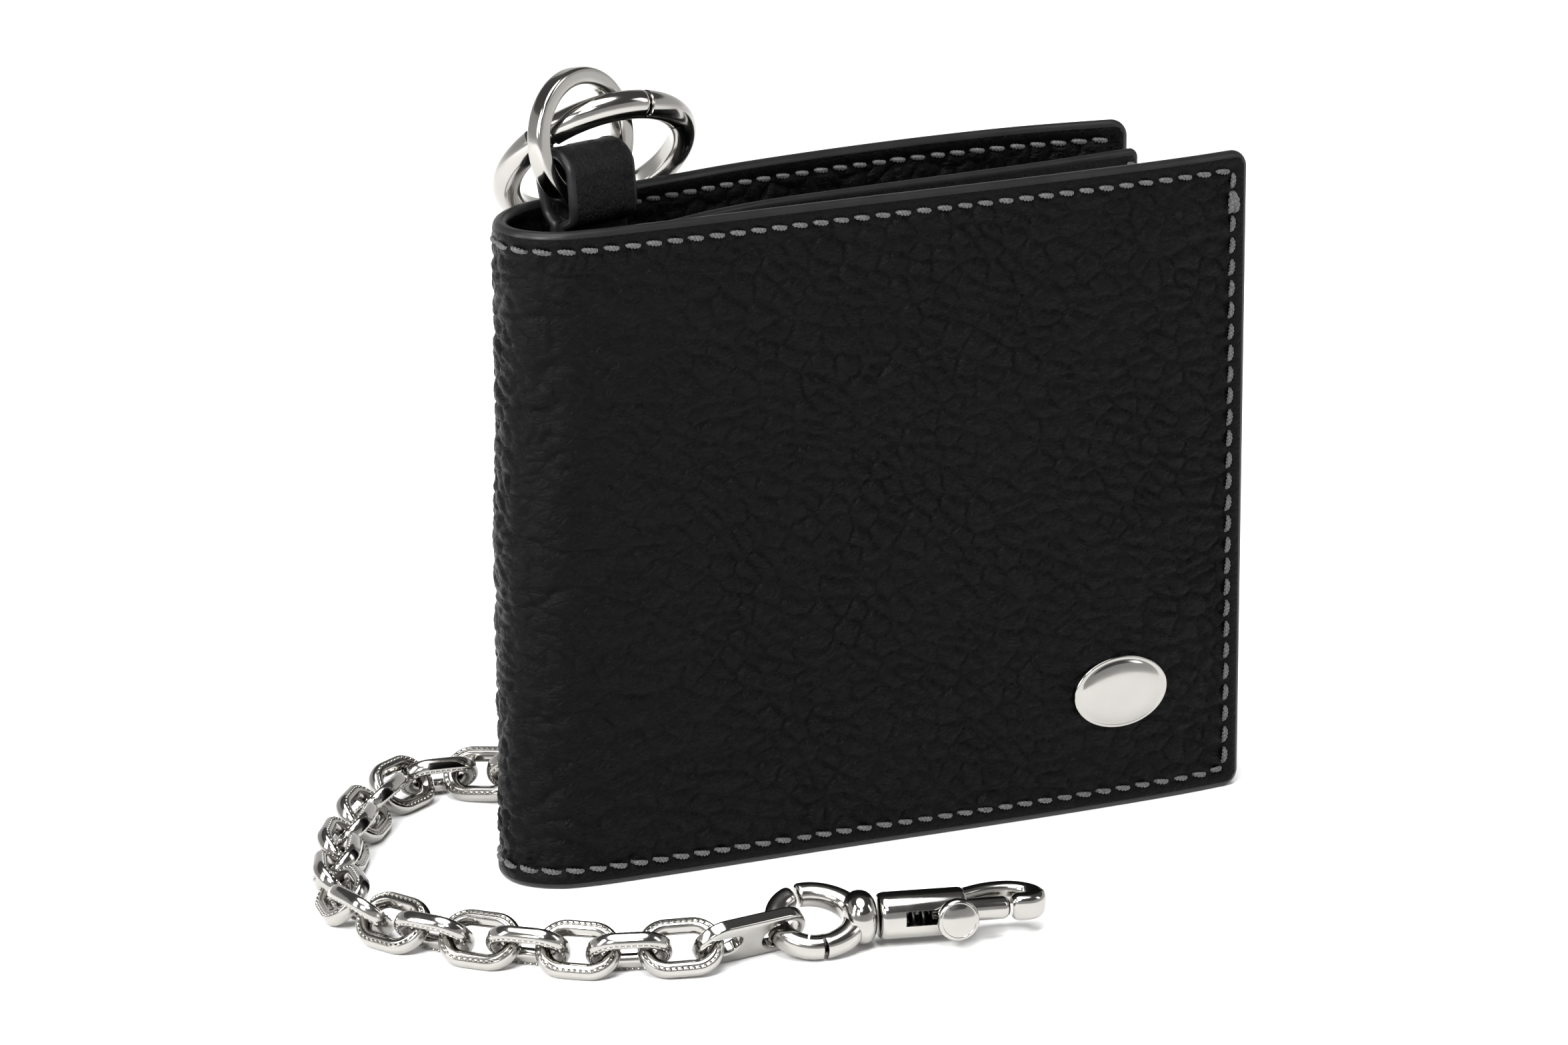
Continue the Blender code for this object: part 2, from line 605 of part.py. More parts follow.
def build_spring(steel, place):
    """The plunger's return spring, behind the plunger in the barrel's bore."""
    turns, steps, radius, wire = 4, 10, 1.25, 0.4
    start, end = 1.3, 6.9
    centres = []
    for i in range(turns * steps + 1):
        angle = 2 * math.pi * i / steps
        centres.append(Vector((start + (end - start) * i / (turns * steps), radius * math.cos(angle), radius * math.sin(angle))))
    verts, faces, sides = [], [], 5
    for i, centre in enumerate(centres):
        along = (centres[min(i + 1, len(centres) - 1)] - centres[max(i - 1, 0)]).normalized()
        outward = Vector((0, centre.y, centre.z)).normalized()
        across = along.cross(outward).normalized()
        for k in range(sides):
            angle = 2 * math.pi * k / sides
            verts.append(centre + outward * wire / 2 * math.cos(angle) + across * wire / 2 * math.sin(angle))
    for i in range(len(centres) - 1):
        for k in range(sides):
            j = (k + 1) % sides
            faces.append((i * sides + k, i * sides + j, (i + 1) * sides + j, (i + 1) * sides + k))
    faces += [tuple(reversed(range(sides))), tuple(range(len(verts) - sides, len(verts)))]
    add_object("clip_spring", verts, faces, steel, place)


def main():
    for obj in list(bpy.data.objects):
        bpy.data.objects.remove(obj)
    leather = material("leather", (0.012, 0.012, 0.013), 0.55)
    lining = material("lining", (0.016, 0.016, 0.017), 0.6)
    metal = material("nickel", (0.62, 0.60, 0.57), 0.12, 1.0)
    steel = material("spring_steel", (0.45, 0.45, 0.46), 0.3, 1.0)
    build_back_half(leather, lining)
    build_front_half(leather, lining)
    build_emblem(metal)
    build_tab(leather)
    build_o_ring(metal)
    build_gate_ring(metal)
    build_chain(metal)
    build_connectors(metal)
    build_clip(metal, steel)


main()
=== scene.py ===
"""Chain wallet, visual model: a black pebbled bifold wallet with a tab, an O-ring, a spring-gate ring,
a link chain and a trigger clip. The metal is polished nickel.

Lengths are in millimetres in the part's plan frame and become metres in the row frame in add_piece.
"""
import json
import math

import bmesh
import bpy
import numpy as np
from mathutils import Matrix, Vector


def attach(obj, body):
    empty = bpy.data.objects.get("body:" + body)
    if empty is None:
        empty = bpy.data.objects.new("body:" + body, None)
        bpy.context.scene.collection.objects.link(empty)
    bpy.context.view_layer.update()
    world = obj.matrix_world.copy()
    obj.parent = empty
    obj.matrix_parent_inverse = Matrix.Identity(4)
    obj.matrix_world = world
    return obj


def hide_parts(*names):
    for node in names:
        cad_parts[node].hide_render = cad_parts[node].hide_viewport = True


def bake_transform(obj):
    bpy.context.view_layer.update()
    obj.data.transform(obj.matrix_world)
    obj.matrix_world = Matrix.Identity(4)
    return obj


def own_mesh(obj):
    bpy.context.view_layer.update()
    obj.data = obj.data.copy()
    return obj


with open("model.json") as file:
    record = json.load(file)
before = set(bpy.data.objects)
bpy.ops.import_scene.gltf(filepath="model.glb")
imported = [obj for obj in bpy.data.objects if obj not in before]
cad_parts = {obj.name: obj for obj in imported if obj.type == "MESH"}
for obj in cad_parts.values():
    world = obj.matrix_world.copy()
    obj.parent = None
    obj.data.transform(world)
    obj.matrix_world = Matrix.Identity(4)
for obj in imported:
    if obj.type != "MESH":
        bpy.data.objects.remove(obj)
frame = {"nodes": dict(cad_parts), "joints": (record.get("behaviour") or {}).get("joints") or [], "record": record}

MM = 0.001
ORIGIN = Vector((60.0, 27.0, 0.0))
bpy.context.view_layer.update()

# Leather, as in the part
HEIGHT = 95.0
LEATHER = 2.0
LINER = 1.4
POCKET = 0.8
GAP = 0.35
LINER_LOW = 2.0
LINER_TOP = 92.0
CORNER_RADIUS = 2.5
FRONT_PLAN = [(10.35, 1.4), (22, 1.05), (47, 0.9), (78, 0.35), (100, 0.6), (113, 1.6)]
SPINE_PLAN = [(5.0, 2.6), (1.6, 6.0), (1.2, 10.5), (3.2, 14.6), (7.0, 17.7)]
BACK_PLAN = [(11.0, 19.3), (22, 21.7), (33, 23.7), (45, 25.7),
             (60, 27.0), (75, 27.4), (90, 26.7), (106, 24.2)]
BACK_LINER_PLAN = [(24, 10.2), (29, 12.0), (36, 14.1), (45, 15.7),
                   (60, 16.5), (75, 17.0), (90, 17.7), (105, 19.2)]
FRONT_OFFSET = (LEATHER + LINER) / 2 + GAP
LINER_CORNER = 1.4
FOLD_SHARE = 0.455
COVER_SPACING = 0.36
LINER_SPACING = 0.9
POCKET_SPACING = 1.0
POCKET_TOPS = (72, 58, 44)

# Seam
SEAM_INSET = 2.7
STITCH_PITCH = 3.175
STITCH_LENGTH = 2.6
THREAD = 0.36
THREAD_SINK = 0.22
KNOT_HEIGHT = 87.6
BACK_SHARE = 0.6

# Rings, as in the part
O_RING_CENTRE = Vector((15.95, 16.2, 104.0))
O_RING_HEADING = 24.0
O_RING_LEAN = 8.5
O_RING_MID = 8.6
O_RING_RADIAL = 2.5
O_RING_AXIAL = 2.7
GATE_RING_CENTRE = Vector((21.95, 24.7, 98.3))
GATE_RING_NORMAL = Vector((-0.035, 0.738, 0.673)).normalized()
GATE_RING_MID = 13.1
GATE_RADIUS = 2.05
GATE_FREE_END = 77.0
GATE_HINGE_END = 149.0
GATE_TONGUE_END = 44.0

# Tab
TAB_HEADING = 16.0
STRAP = 1.6
STRAP_HOLD = 0.5
STRAP_BEND_ROOM = 0.5
FRONT_HOLD_ROOM = 0.4
FRONT_BEND_ROOM = 0.45

# Links and connectors
LINK_LENGTH = 12.0
LINK_WIDTH = 8.5
LINK_WIRE = 2.3
CONNECTOR_LENGTH = 17.5
CONNECTOR_THICK = 2.0
CONNECTOR_RIM = 1.1
UPPER_HOLE = 2.75
LOWER_HOLE = 2.8
SLOT_HALF_WIDTH = 1.75
SLOT_LENGTH = 6.0

# Clip
CLIP_RING_MID = 4.9
CLIP_WIRE = 3.2
CLIP_RING_BACK = 9.3
SEGMENT_HINGE_END = 110.0
SEGMENT_FREE_END = 252.0
BARREL_LENGTH = 12.2
BARREL_RADIUS = 3.3
PLUNGER_REACH = 6.4
KNOB_ELEVATION = 6.0
CLIP_HEADING = -14.0
CLIP_SPOT = Vector((34.7, -38.7, 4.35))


# ---------------------------------------------------------------- materials

def new_material(name):
    mat = bpy.data.materials.new(name)
    mat.use_nodes = True
    tree = mat.node_tree
    shader = tree.nodes["Principled BSDF"]
    return mat, tree, shader


def node(tree, kind, **inputs):
    """Adds a shader node and sets its named inputs."""
    made = tree.nodes.new(kind)
    for key, value in inputs.items():
        made.inputs[key.replace("_", " ")].default_value = value
    return made


def ramp(tree, source, low, high, dark, light):
    """Maps a value between low and high to a grey or colour between dark and light."""
    made = tree.nodes.new("ShaderNodeValToRGB")
    made.color_ramp.elements[0].position = low
    made.color_ramp.elements[1].position = high
    made.color_ramp.elements[0].color = (*dark, 1.0)
    made.color_ramp.elements[1].color = (*light, 1.0)
    tree.links.new(source, made.inputs["Fac"])
    return made.outputs["Color"]


def add(tree, first, second, operation="ADD"):
    made = tree.nodes.new("ShaderNodeMath")
    made.operation = operation
    tree.links.new(first, made.inputs[0])
    if isinstance(second, float):
        made.inputs[1].default_value = second
    else:
        tree.links.new(second, made.inputs[1])
    return made.outputs[0]


def leather_material(name, colour, cell, strength, roughness, specular):
    """Pebbled leather on the sheet's own UV: warped cells with fine creases inside them and pores; the base colour
    is darkened in the creases and pores as painted shade.
    """
    mat, tree, shader = new_material(name)
    uv = tree.nodes.new("ShaderNodeUVMap")
    uv.uv_map = "leather"
    warp = node(tree, "ShaderNodeTexNoise", Scale=0.22, Detail=3.0)
    tree.links.new(uv.outputs["UV"], warp.inputs["Vector"])
    shift = tree.nodes.new("ShaderNodeVectorMath")
    shift.operation = "MULTIPLY_ADD"
    shift.inputs[1].default_value = (2.4, 2.4, 0.0)
    tree.links.new(warp.outputs["Color"], shift.inputs[0])
    tree.links.new(uv.outputs["UV"], shift.inputs[2])
    turn = node(tree, "ShaderNodeMapping", Rotation=(0.0, 0.0, 0.3), Scale=(0.62 / cell, 1.0 / cell, 1.0))
    tree.links.new(shift.outputs["Vector"], turn.inputs["Vector"])
    cells = node(tree, "ShaderNodeTexVoronoi", Scale=1.0, Randomness=1.0)
    cells.feature = "DISTANCE_TO_EDGE"
    tree.links.new(turn.outputs["Vector"], cells.inputs["Vector"])
    fine = node(tree, "ShaderNodeTexVoronoi", Scale=2.3, Randomness=1.0)
    fine.feature = "DISTANCE_TO_EDGE"
    tree.links.new(turn.outputs["Vector"], fine.inputs["Vector"])
    pores = node(tree, "ShaderNodeTexNoise", Scale=9.0, Detail=4.0, Roughness=0.65)
    tree.links.new(uv.outputs["UV"], pores.inputs["Vector"])
    pebble = ramp(tree, cells.outputs["Distance"], 0.0, 0.16, (0, 0, 0), (1, 1, 1))
    crease = ramp(tree, fine.outputs["Distance"], 0.0, 0.10, (0, 0, 0), (1, 1, 1))
    height = add(tree, add(tree, pebble, 0.34, "MULTIPLY"), add(tree, crease, 0.20, "MULTIPLY"))
    height = add(tree, height, add(tree, pores.outputs["Fac"], 0.34, "MULTIPLY"))
    bump = node(tree, "ShaderNodeBump", Strength=strength, Distance=0.00034)
    tree.links.new(height, bump.inputs["Height"])
    tree.links.new(bump.outputs["Normal"], shader.inputs["Normal"])
    # painted shade: the base colour falls to 55 per cent where the grain height is low, in the creases and pores
    dark = tuple(c * 0.55 for c in colour)
    tree.links.new(ramp(tree, height, 0.2, 0.6, dark, colour), shader.inputs["Base Color"])
    rough = ramp(tree, height, 0.2, 0.8, (roughness + 0.14,) * 3, (roughness - 0.06,) * 3)
    tree.links.new(rough, shader.inputs["Roughness"])
    shader.inputs["Specular IOR Level"].default_value = specular
    return mat


def edge_material():
    """The painted, rounded edge of the leather: smooth, with faint sanding waves."""
    mat, tree, shader = new_material("painted_edge")
    place = tree.nodes.new("ShaderNodeTexCoord")
    waves = node(tree, "ShaderNodeTexNoise", Scale=260.0, Detail=3.0)
    tree.links.new(place.outputs["Object"], waves.inputs["Vector"])
    bump = node(tree, "ShaderNodeBump", Strength=0.25, Distance=0.0001)
    tree.links.new(waves.outputs["Fac"], bump.inputs["Height"])
    tree.links.new(bump.outputs["Normal"], shader.inputs["Normal"])
    colour = ramp(tree, waves.outputs["Fac"], 0.3, 0.7, (0.007, 0.007, 0.0075), (0.011, 0.011, 0.0115))
    tree.links.new(colour, shader.inputs["Base Color"])
    shader.inputs["Roughness"].default_value = 0.36
    shader.inputs["Specular IOR Level"].default_value = 0.2
    return mat


def thread_material():
    """Grey twisted polyester thread with fine fibres."""
    mat, tree, shader = new_material("thread")
    place = tree.nodes.new("ShaderNodeTexCoord")
    fibre = node(tree, "ShaderNodeTexNoise", Scale=2600.0, Detail=2.0)
    tree.links.new(place.outputs["Object"], fibre.inputs["Vector"])
    tone = ramp(tree, fibre.outputs["Fac"], 0.3, 0.7, (0.010, 0.010, 0.0105), (0.055, 0.055, 0.057))
    tree.links.new(tone, shader.inputs["Base Color"])
    bump = node(tree, "ShaderNodeBump", Strength=0.4, Distance=0.00008)
    tree.links.new(fibre.outputs["Fac"], bump.inputs["Height"])
    tree.links.new(bump.outputs["Normal"], shader.inputs["Normal"])
    shader.inputs["Roughness"].default_value = 0.55
    shader.inputs["Sheen Weight"].default_value = 0.3
    return mat


def metal_material(name, colour, low, high, scratch=0.04):
    """Polished metal: slightly uneven gloss, soft waves from polishing and hairline scratches."""
    mat, tree, shader = new_material(name)
    place = tree.nodes.new("ShaderNodeTexCoord")
    cloud = node(tree, "ShaderNodeTexNoise", Scale=240.0, Detail=4.0)
    tree.links.new(place.outputs["Object"], cloud.inputs["Vector"])
    stretch = node(tree, "ShaderNodeMapping", Rotation=(0.5, 0.3, 0.8), Scale=(1.0, 14.0, 14.0))
    tree.links.new(place.outputs["Object"], stretch.inputs["Vector"])
    lines = node(tree, "ShaderNodeTexNoise", Scale=420.0, Detail=2.0)
    tree.links.new(stretch.outputs["Vector"], lines.inputs["Vector"])
    rough = ramp(tree, cloud.outputs["Fac"], 0.3, 0.7, (low,) * 3, (high,) * 3)
    tree.links.new(rough, shader.inputs["Roughness"])
    tone = ramp(tree, cloud.outputs["Fac"], 0.25, 0.75, tuple(c * 0.93 for c in colour), colour)
    tree.links.new(tone, shader.inputs["Base Color"])
    bump = node(tree, "ShaderNodeBump", Strength=scratch, Distance=0.00005)
    tree.links.new(lines.outputs["Fac"], bump.inputs["Height"])
    tree.links.new(bump.outputs["Normal"], shader.inputs["Normal"])
    shader.inputs["Metallic"].default_value = 1.0
    return mat


# ---------------------------------------------------------------- mesh helpers

def add_piece(name, verts, faces, mats, body, slot, stands_for=(), marks=None, uvs=None, smooth=40):
    """Makes a mesh piece from plan-frame millimetres that rides on a body and stands for CAD nodes."""
    mesh = bpy.data.meshes.new(name)
    points = (np.asarray([tuple(v) for v in verts], float) - np.array(ORIGIN)) * MM
    mesh.from_pydata(points.tolist(), [], faces)
    for mat in mats:
        mesh.materials.append(mat)
    if marks is not None:
        mesh.polygons.foreach_set("material_index", marks)
    if uvs is not None:
        layer = mesh.uv_layers.new(name="leather")
        loops = np.empty(len(mesh.loops), int)
        mesh.loops.foreach_get("vertex_index", loops)
        layer.data.foreach_set("uv", np.asarray(uvs, float)[loops].ravel())
    mesh.validate()
    mesh.shade_smooth()
    if smooth < 180:
        mesh.set_sharp_from_angle(angle=math.radians(smooth))
    obj = linked(name, mesh)
    if body:
        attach(obj, body)
    if stands_for:
        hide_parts(*stands_for)
    return obj


def metal_piece(name, part, metal, body, stands_for=(), smooth=40):
    """A closed nickel piece from (verts, faces), with its faces pointing outwards."""
    outward(add_piece(name, *part, [metal], body, "nickel", stands_for, smooth=smooth))


def linked(name, data):
    """A new object in the scene."""
    obj = bpy.data.objects.new(name, data)
    bpy.context.scene.collection.objects.link(obj)
    return obj


def heading(degrees):
    """A level direction."""
    return Vector((math.cos(math.radians(degrees)), math.sin(math.radians(degrees)), 0.0))


def frame_matrix(centre, x_axis, z_axis):
    """A place whose Z is z_axis and whose X is as near to x_axis as that allows."""
    z = Vector(z_axis).normalized()
    x = Vector(x_axis)
    x = (x - x.dot(z) * z).normalized()
    y = z.cross(x)
    return Matrix.Translation(Vector(centre)) @ Matrix((x, y, z)).transposed().to_4x4()


def tube(stations, closed=False):
    """A skin over sections; a station is (centre, outward axis, upward axis, section of (a, b) points)."""
    verts, faces = [], []
    for centre, out, up, section in stations:
        verts += [centre + out * a + up * b for a, b in section]
    sides = len(stations[0][3])
    count = len(stations)
    for i in range(count if closed else count - 1):
        base, nxt = i * sides, ((i + 1) % count) * sides
        for k in range(sides):
            other = (k + 1) % sides
            faces.append((base + k, base + other, nxt + other, nxt + k))
    if not closed:
        faces.append(tuple(reversed(range(sides))))
        faces.append(tuple((count - 1) * sides + k for k in range(sides)))
    return verts, faces


def circle(radius, sides):
    """A round section."""
    angles = [2 * math.pi * k / sides for k in range(sides)]
    return [(radius * math.cos(angle), radius * math.sin(angle)) for angle in angles]


def merge(*parts):
    """Puts several (verts, faces) lists into one."""
    verts, faces = [], []
    for more_verts, more_faces in parts:
        base = len(verts)
        verts += list(more_verts)
        faces += [tuple(base + k for k in face) for face in more_faces]
    return verts, faces


def placed(part, matrix):
    """A (verts, faces) part moved by a matrix."""
    return [matrix @ Vector(v) for v in part[0]], part[1]


def turned(profile, sides=56):
    """A turned solid about local X from (x, radius) points."""
    verts, faces = [], []
    for x, radius in profile:
        for k in range(sides):
            angle = 2 * math.pi * k / sides
            verts.append(Vector((x, radius * math.cos(angle), radius * math.sin(angle))))
    faces += strips(len(profile), sides)
    faces.append(tuple(reversed(range(sides))))
    faces.append(tuple((len(profile) - 1) * sides + k for k in range(sides)))
    return verts, faces


def strips(rows, sides):
    """Four-sided faces between rings of points."""
    faces = []
    for i in range(rows - 1):
        for k in range(sides):
            other = (k + 1) % sides
            faces.append((i * sides + k, i * sides + other, (i + 1) * sides + other, (i + 1) * sides + k))
    return faces


def face_out(mesh, weld=0.0):
    """Points all faces of a closed mesh outwards, after joining points closer than weld."""
    bm = bmesh.new()
    bm.from_mesh(mesh)
    if weld:
        bmesh.ops.remove_doubles(bm, verts=bm.verts, dist=weld)
    bmesh.ops.recalc_face_normals(bm, faces=bm.faces)
    bm.to_mesh(mesh)
    bm.free()


def outward(obj):
    """Points all faces of a closed piece outwards."""
    face_out(obj.data)
    return obj


def bead(centre, along, out, up, length, width, rise, rings=4, sides=7):
    """A small ellipsoid bead."""
    verts = []
    for i in range(rings + 1):
        lat = math.pi * i / rings
        for k in range(sides):
            lon = 2 * math.pi * k / sides
            across = out * width / 2 * math.cos(lon) + up * rise * math.sin(lon)
            verts.append(centre + along * length / 2 * math.cos(lat) + across * max(math.sin(lat), 0.02))
    return verts, strips(rings + 1, sides)


# ---------------------------------------------------------------- leather sheets

def dense_curve(points, steps):
    """Many points of a Catmull-Rom curve through the given ones."""
    pts = [2 * points[0] - points[1]] + list(points) + [2 * points[-1] - points[-2]]
    dense = []
    for a, b, c, d in zip(pts, pts[1:], pts[2:], pts[3:]):
        for k in range(steps):
            t = k / steps
            dense.append(0.5 * (2 * b + (c - a) * t + (2 * a - 5 * b + 4 * c - d) * t * t
                                + (3 * b - a - 3 * c + d) * t ** 3))
    dense.append(pts[-2])
    return dense


def even_curve(points, count):
    """Points evenly spaced along a Catmull-Rom curve through plan points, as an array."""
    dense = np.array([tuple(p) for p in dense_curve([Vector(p) for p in points], 40)])
    run = np.concatenate([[0], np.cumsum(np.hypot(*np.diff(dense, axis=0).T))])
    even = np.linspace(0, run[-1], count)
    return np.stack([np.interp(even, run, dense[:, 0]), np.interp(even, run, dense[:, 1])], 1), run[-1]


class Sheet:
    """A standing leather sheet: u runs along its plan curve and z up; side is to the left of its run."""

    def __init__(self, plan, thickness, low, high, offset=0.0, span=(0.0, 1.0), radius=(0.0, 0.0), outer=1.0):
        self.line, total = even_curve(plan, 900)
        self.total = total
        self.start, self.end = span[0] * total, span[1] * total
        self.thickness, self.low, self.high = thickness, low, high
        self.offset, self.radius, self.outer = offset, radius, outer

    def at(self, u):
        """Plan position and left-hand side at a distance along the curve."""
        u = np.asarray(u, float)
        k = np.clip(u / self.total * 899, 0, 898.999)
        i = k.astype(int)
        part = (k - i)[..., None]
        point = self.line[i] * (1 - part) + self.line[i + 1] * part
        near, far = np.clip(i - 3, 0, 899), np.clip(i + 4, 0, 899)
        along = self.line[far] - self.line[near]
        along /= np.linalg.norm(along, axis=-1, keepdims=True)
        side = np.stack([-along[..., 1], along[..., 0]], -1)
        return point + side * self.offset, side, along

    def edge_distance(self, u, z):
        """Distance from a point of the sheet to its outline, whose corners are rounded."""
        left, right = u - self.start, self.end - u
        bottom, top = z - self.low, self.high - z
        level = np.minimum(bottom, top)
        distance = np.minimum(np.minimum(left, right), level)
        for radius, across in ((self.radius[0], left), (self.radius[1], right)):
            if radius:
                inside = (across < radius) & (level < radius)
                corner = radius - np.hypot(radius - across, radius - level)
                distance = np.where(inside, np.minimum(distance, corner), distance)
        return np.maximum(distance, 0.0)


def stations_between(start, end, spacing, radius, edge):
    """Stations along a sheet: close together at its ends and evenly spaced between."""
    left = [start + e for e in edge] if not radius[0] else [
        start + radius[0] * (1 - math.cos(math.radians(a))) for a in (0, 12, 24, 36, 48, 60, 75)]
    right = [end - e for e in reversed(edge)] if not radius[1] else [
        end - radius[1] * (1 - math.cos(math.radians(a))) for a in (75, 60, 48, 36, 24, 12, 0)]
    count = max(2, round((right[0] - left[-1]) / spacing))
    middle = [left[-1] + (right[0] - left[-1]) * i / count for i in range(1, count)]
    return np.array(left + middle + right)


EDGE_ROWS = (0.0, 0.04, 0.14, 0.3, 0.55, 0.85, 1.25)


def build_sheet(name, sheet, spacing, mats, body, slot, stands_for, relief=None, inner_relief=None):
    """The closed mesh of a sheet with rounded painted edges; relief(u, z, distance) lifts its outer face."""
    us = stations_between(sheet.start, sheet.end, spacing, sheet.radius, EDGE_ROWS)
    height = sheet.high - sheet.low
    rows = stations_between(0.0, height, spacing, (0.0, 0.0), EDGE_ROWS) / height
    rise = np.zeros(len(us))
    for radius, over in ((sheet.radius[0], sheet.start + sheet.radius[0] - us),
                         (sheet.radius[1], us - (sheet.end - sheet.radius[1]))):
        if radius:
            over = np.clip(over, 0, radius)
            rise = np.maximum(rise, radius - np.sqrt(np.maximum(radius ** 2 - over ** 2, 0)))
    u = np.repeat(us[:, None], len(rows), 1)
    z = sheet.low + rise[:, None] + rows[None, :] * (height - 2 * rise[:, None])
    distance = sheet.edge_distance(u, z)
    round_off = min(sheet.thickness / 2, 1.0)
    body_half = sheet.thickness / 2 * np.sqrt(1 - (1 - np.minimum(distance / round_off, 1.0)) ** 2)
    point, side, _ = sheet.at(u)
    outer = body_half + (relief(u, z, distance) if relief else 0.0)
    inner = body_half + (inner_relief(u, z, distance) if inner_relief else 0.0)
    skins = []
    for face, half in ((sheet.outer, outer), (-sheet.outer, inner)):
        flat = point + side * (face * half)[..., None]
        skins.append(np.concatenate([flat, z[..., None]], -1).reshape(-1, 3))
    n, m = u.shape
    index = np.arange(n * m).reshape(n, m)
    back = index + n * m
    border = np.zeros((n, m), bool)
    border[0, :] = border[-1, :] = border[:, 0] = border[:, -1] = True
    back[border] = index[border]
    quads = np.stack([index[:-1, :-1], index[1:, :-1], index[1:, 1:], index[:-1, 1:]], -1).reshape(-1, 4)
    turned_quads = np.stack([back[:-1, :-1], back[:-1, 1:], back[1:, 1:], back[1:, :-1]], -1).reshape(-1, 4)
    if sheet.outer > 0:
        quads, turned_quads = quads[:, ::-1], turned_quads[:, ::-1]
    faces = np.concatenate([quads, turned_quads])
    verts = np.concatenate(skins)
    used = np.unique(faces)
    renumber = np.zeros(len(verts), int)
    renumber[used] = np.arange(len(used))
    uv = np.concatenate([np.stack([u, z], -1).reshape(-1, 2), np.stack([u + 300, z], -1).reshape(-1, 2)])
    centre = distance.reshape(-1)
    near = np.concatenate([centre, centre])[faces].mean(1)
    marks = (near < 0.8).astype(int)
    return add_piece(name, verts[used], renumber[faces].tolist(), mats, body, slot, stands_for,
                     marks=marks, uvs=uv[used], smooth=180)


def hashed(i, j, seed):
    """A fixed number between 0 and 1 for each cell."""
    value = np.sin(i * 127.1 + j * 311.7 + seed * 74.7) * 43758.5453
    return value - np.floor(value)


def cell_edges(x, y, seed):
    """Second minus first distance to jittered cell points: 0 on a crease and larger inside a cell."""
    i, j = np.floor(x), np.floor(y)
    first = np.full(x.shape, 9.0)
    second = np.full(x.shape, 9.0)
    for di in (-1, 0, 1):
        for dj in (-1, 0, 1):
            cx = i + di + hashed(i + di, j + dj, seed)
            cy = j + dj + hashed(i + di, j + dj, seed + 5)
            far = np.hypot(cx - x, cy - y)
            second = np.minimum(second, np.maximum(first, far))
            first = np.minimum(first, far)
    return second - first


def soft_noise(x, y, seed):
    """Smooth value noise between 0 and 1."""
    i, j = np.floor(x), np.floor(y)
    fx, fy = x - i, y - j
    fx, fy = fx * fx * (3 - 2 * fx), fy * fy * (3 - 2 * fy)
    low = hashed(i, j, seed) * (1 - fx) + hashed(i + 1, j, seed) * fx
    high = hashed(i, j + 1, seed) * (1 - fx) + hashed(i + 1, j + 1, seed) * fx
    return low * (1 - fy) + high * fy


def smooth_value(t):
    """Eases a number from 0 to 1."""
    t = min(max(t, 0.0), 1.0)
    return t * t * (3 - 2 * t)


def smooth_step(low, high, value):
    """Eases an array from 0 at low to 1 at high."""
    t = np.clip((value - low) / (high - low), 0, 1)
    return t * t * (3 - 2 * t)


def pebbles(u, z, cell, seed):
    """Pebbled grain height between 0 and 1: long cells that lean up to the right, warped by soft noise."""
    warp_u = (soft_noise(u / 11, z / 11, seed) - 0.5) * 3.4
    warp_u = warp_u + (soft_noise(u / 3.1, z / 3.1, seed + 3) - 0.5) * 1.0
    warp_z = (soft_noise(u / 11, z / 11, seed + 1) - 0.5) * 3.0
    warp_z = warp_z + (soft_noise(u / 3.1, z / 3.1, seed + 4) - 0.5) * 0.8
    lean = math.radians(22)
    x = ((u + warp_u) * math.cos(lean) + (z + warp_z) * math.sin(lean)) / (cell * 1.5)
    y = (-(u + warp_u) * math.sin(lean) + (z + warp_z) * math.cos(lean)) / cell
    depth = 0.55 + 0.45 * soft_noise(u / 5.0, z / 5.0, seed + 8)
    coarse = 1 - depth * np.exp(-cell_edges(x, y, seed) * 4.0)
    fine = 1 - np.exp(-cell_edges(x * 1.9 + 7, y * 2.1, seed + 11) * 4.5)
    return 0.8 * coarse + 0.2 * fine


def cover_relief(fold_at):
    """Relief of the cover's faces: grain, wrinkles round the fold, puckers by the seam, the pressed seam."""
    def relief(u, z, distance):
        grain = pebbles(u, z, 2.7, 2.0) - 0.55
        swell = (soft_noise(u / 16, z / 16, 31) - 0.5) * 0.5
        bend = np.exp(-((u - fold_at) / 17.0) ** 2)
        drift = (soft_noise(u / 6, z / 9, 53) - 0.5) * 3.0
        lines = 1 - np.abs(2 * soft_noise(u / 7.0, (z + drift) / 2.5, 17) - 1)
        wrinkles = bend * (lines ** 4) * 0.72 * (0.35 + 0.65 * soft_noise(u / 4, z / 8, 23))
        near_seam = np.exp(-((distance - 4.4) / 1.7) ** 2) * (0.3 + 0.7 * bend)
        folds = np.abs(2 * soft_noise(u / 1.5 + z * 0.25, z / 3.4 + u * 0.1, 61) - 1)
        puckers = near_seam * (1 - folds) ** 2 * 0.45
        fade = smooth_step(1.7, 4.0, distance)
        pressed = -0.3 * np.exp(-((distance - SEAM_INSET) / 0.5) ** 2)
        rim = 0.07 * np.exp(-((distance - 1.5) / 0.55) ** 2)
        return (grain * (1.02 - 0.52 * bend) + swell - wrinkles) * fade - puckers + pressed + rim
    return relief


def lining_relief(seed, amount=0.1):
    """Fine flat grain for the lining."""
    def relief(u, z, distance):
        return (pebbles(u, z, 1.5, seed) - 0.6) * amount * smooth_step(0.8, 2.0, distance)
    return relief


# ---------------------------------------------------------------- cover, liners and pockets

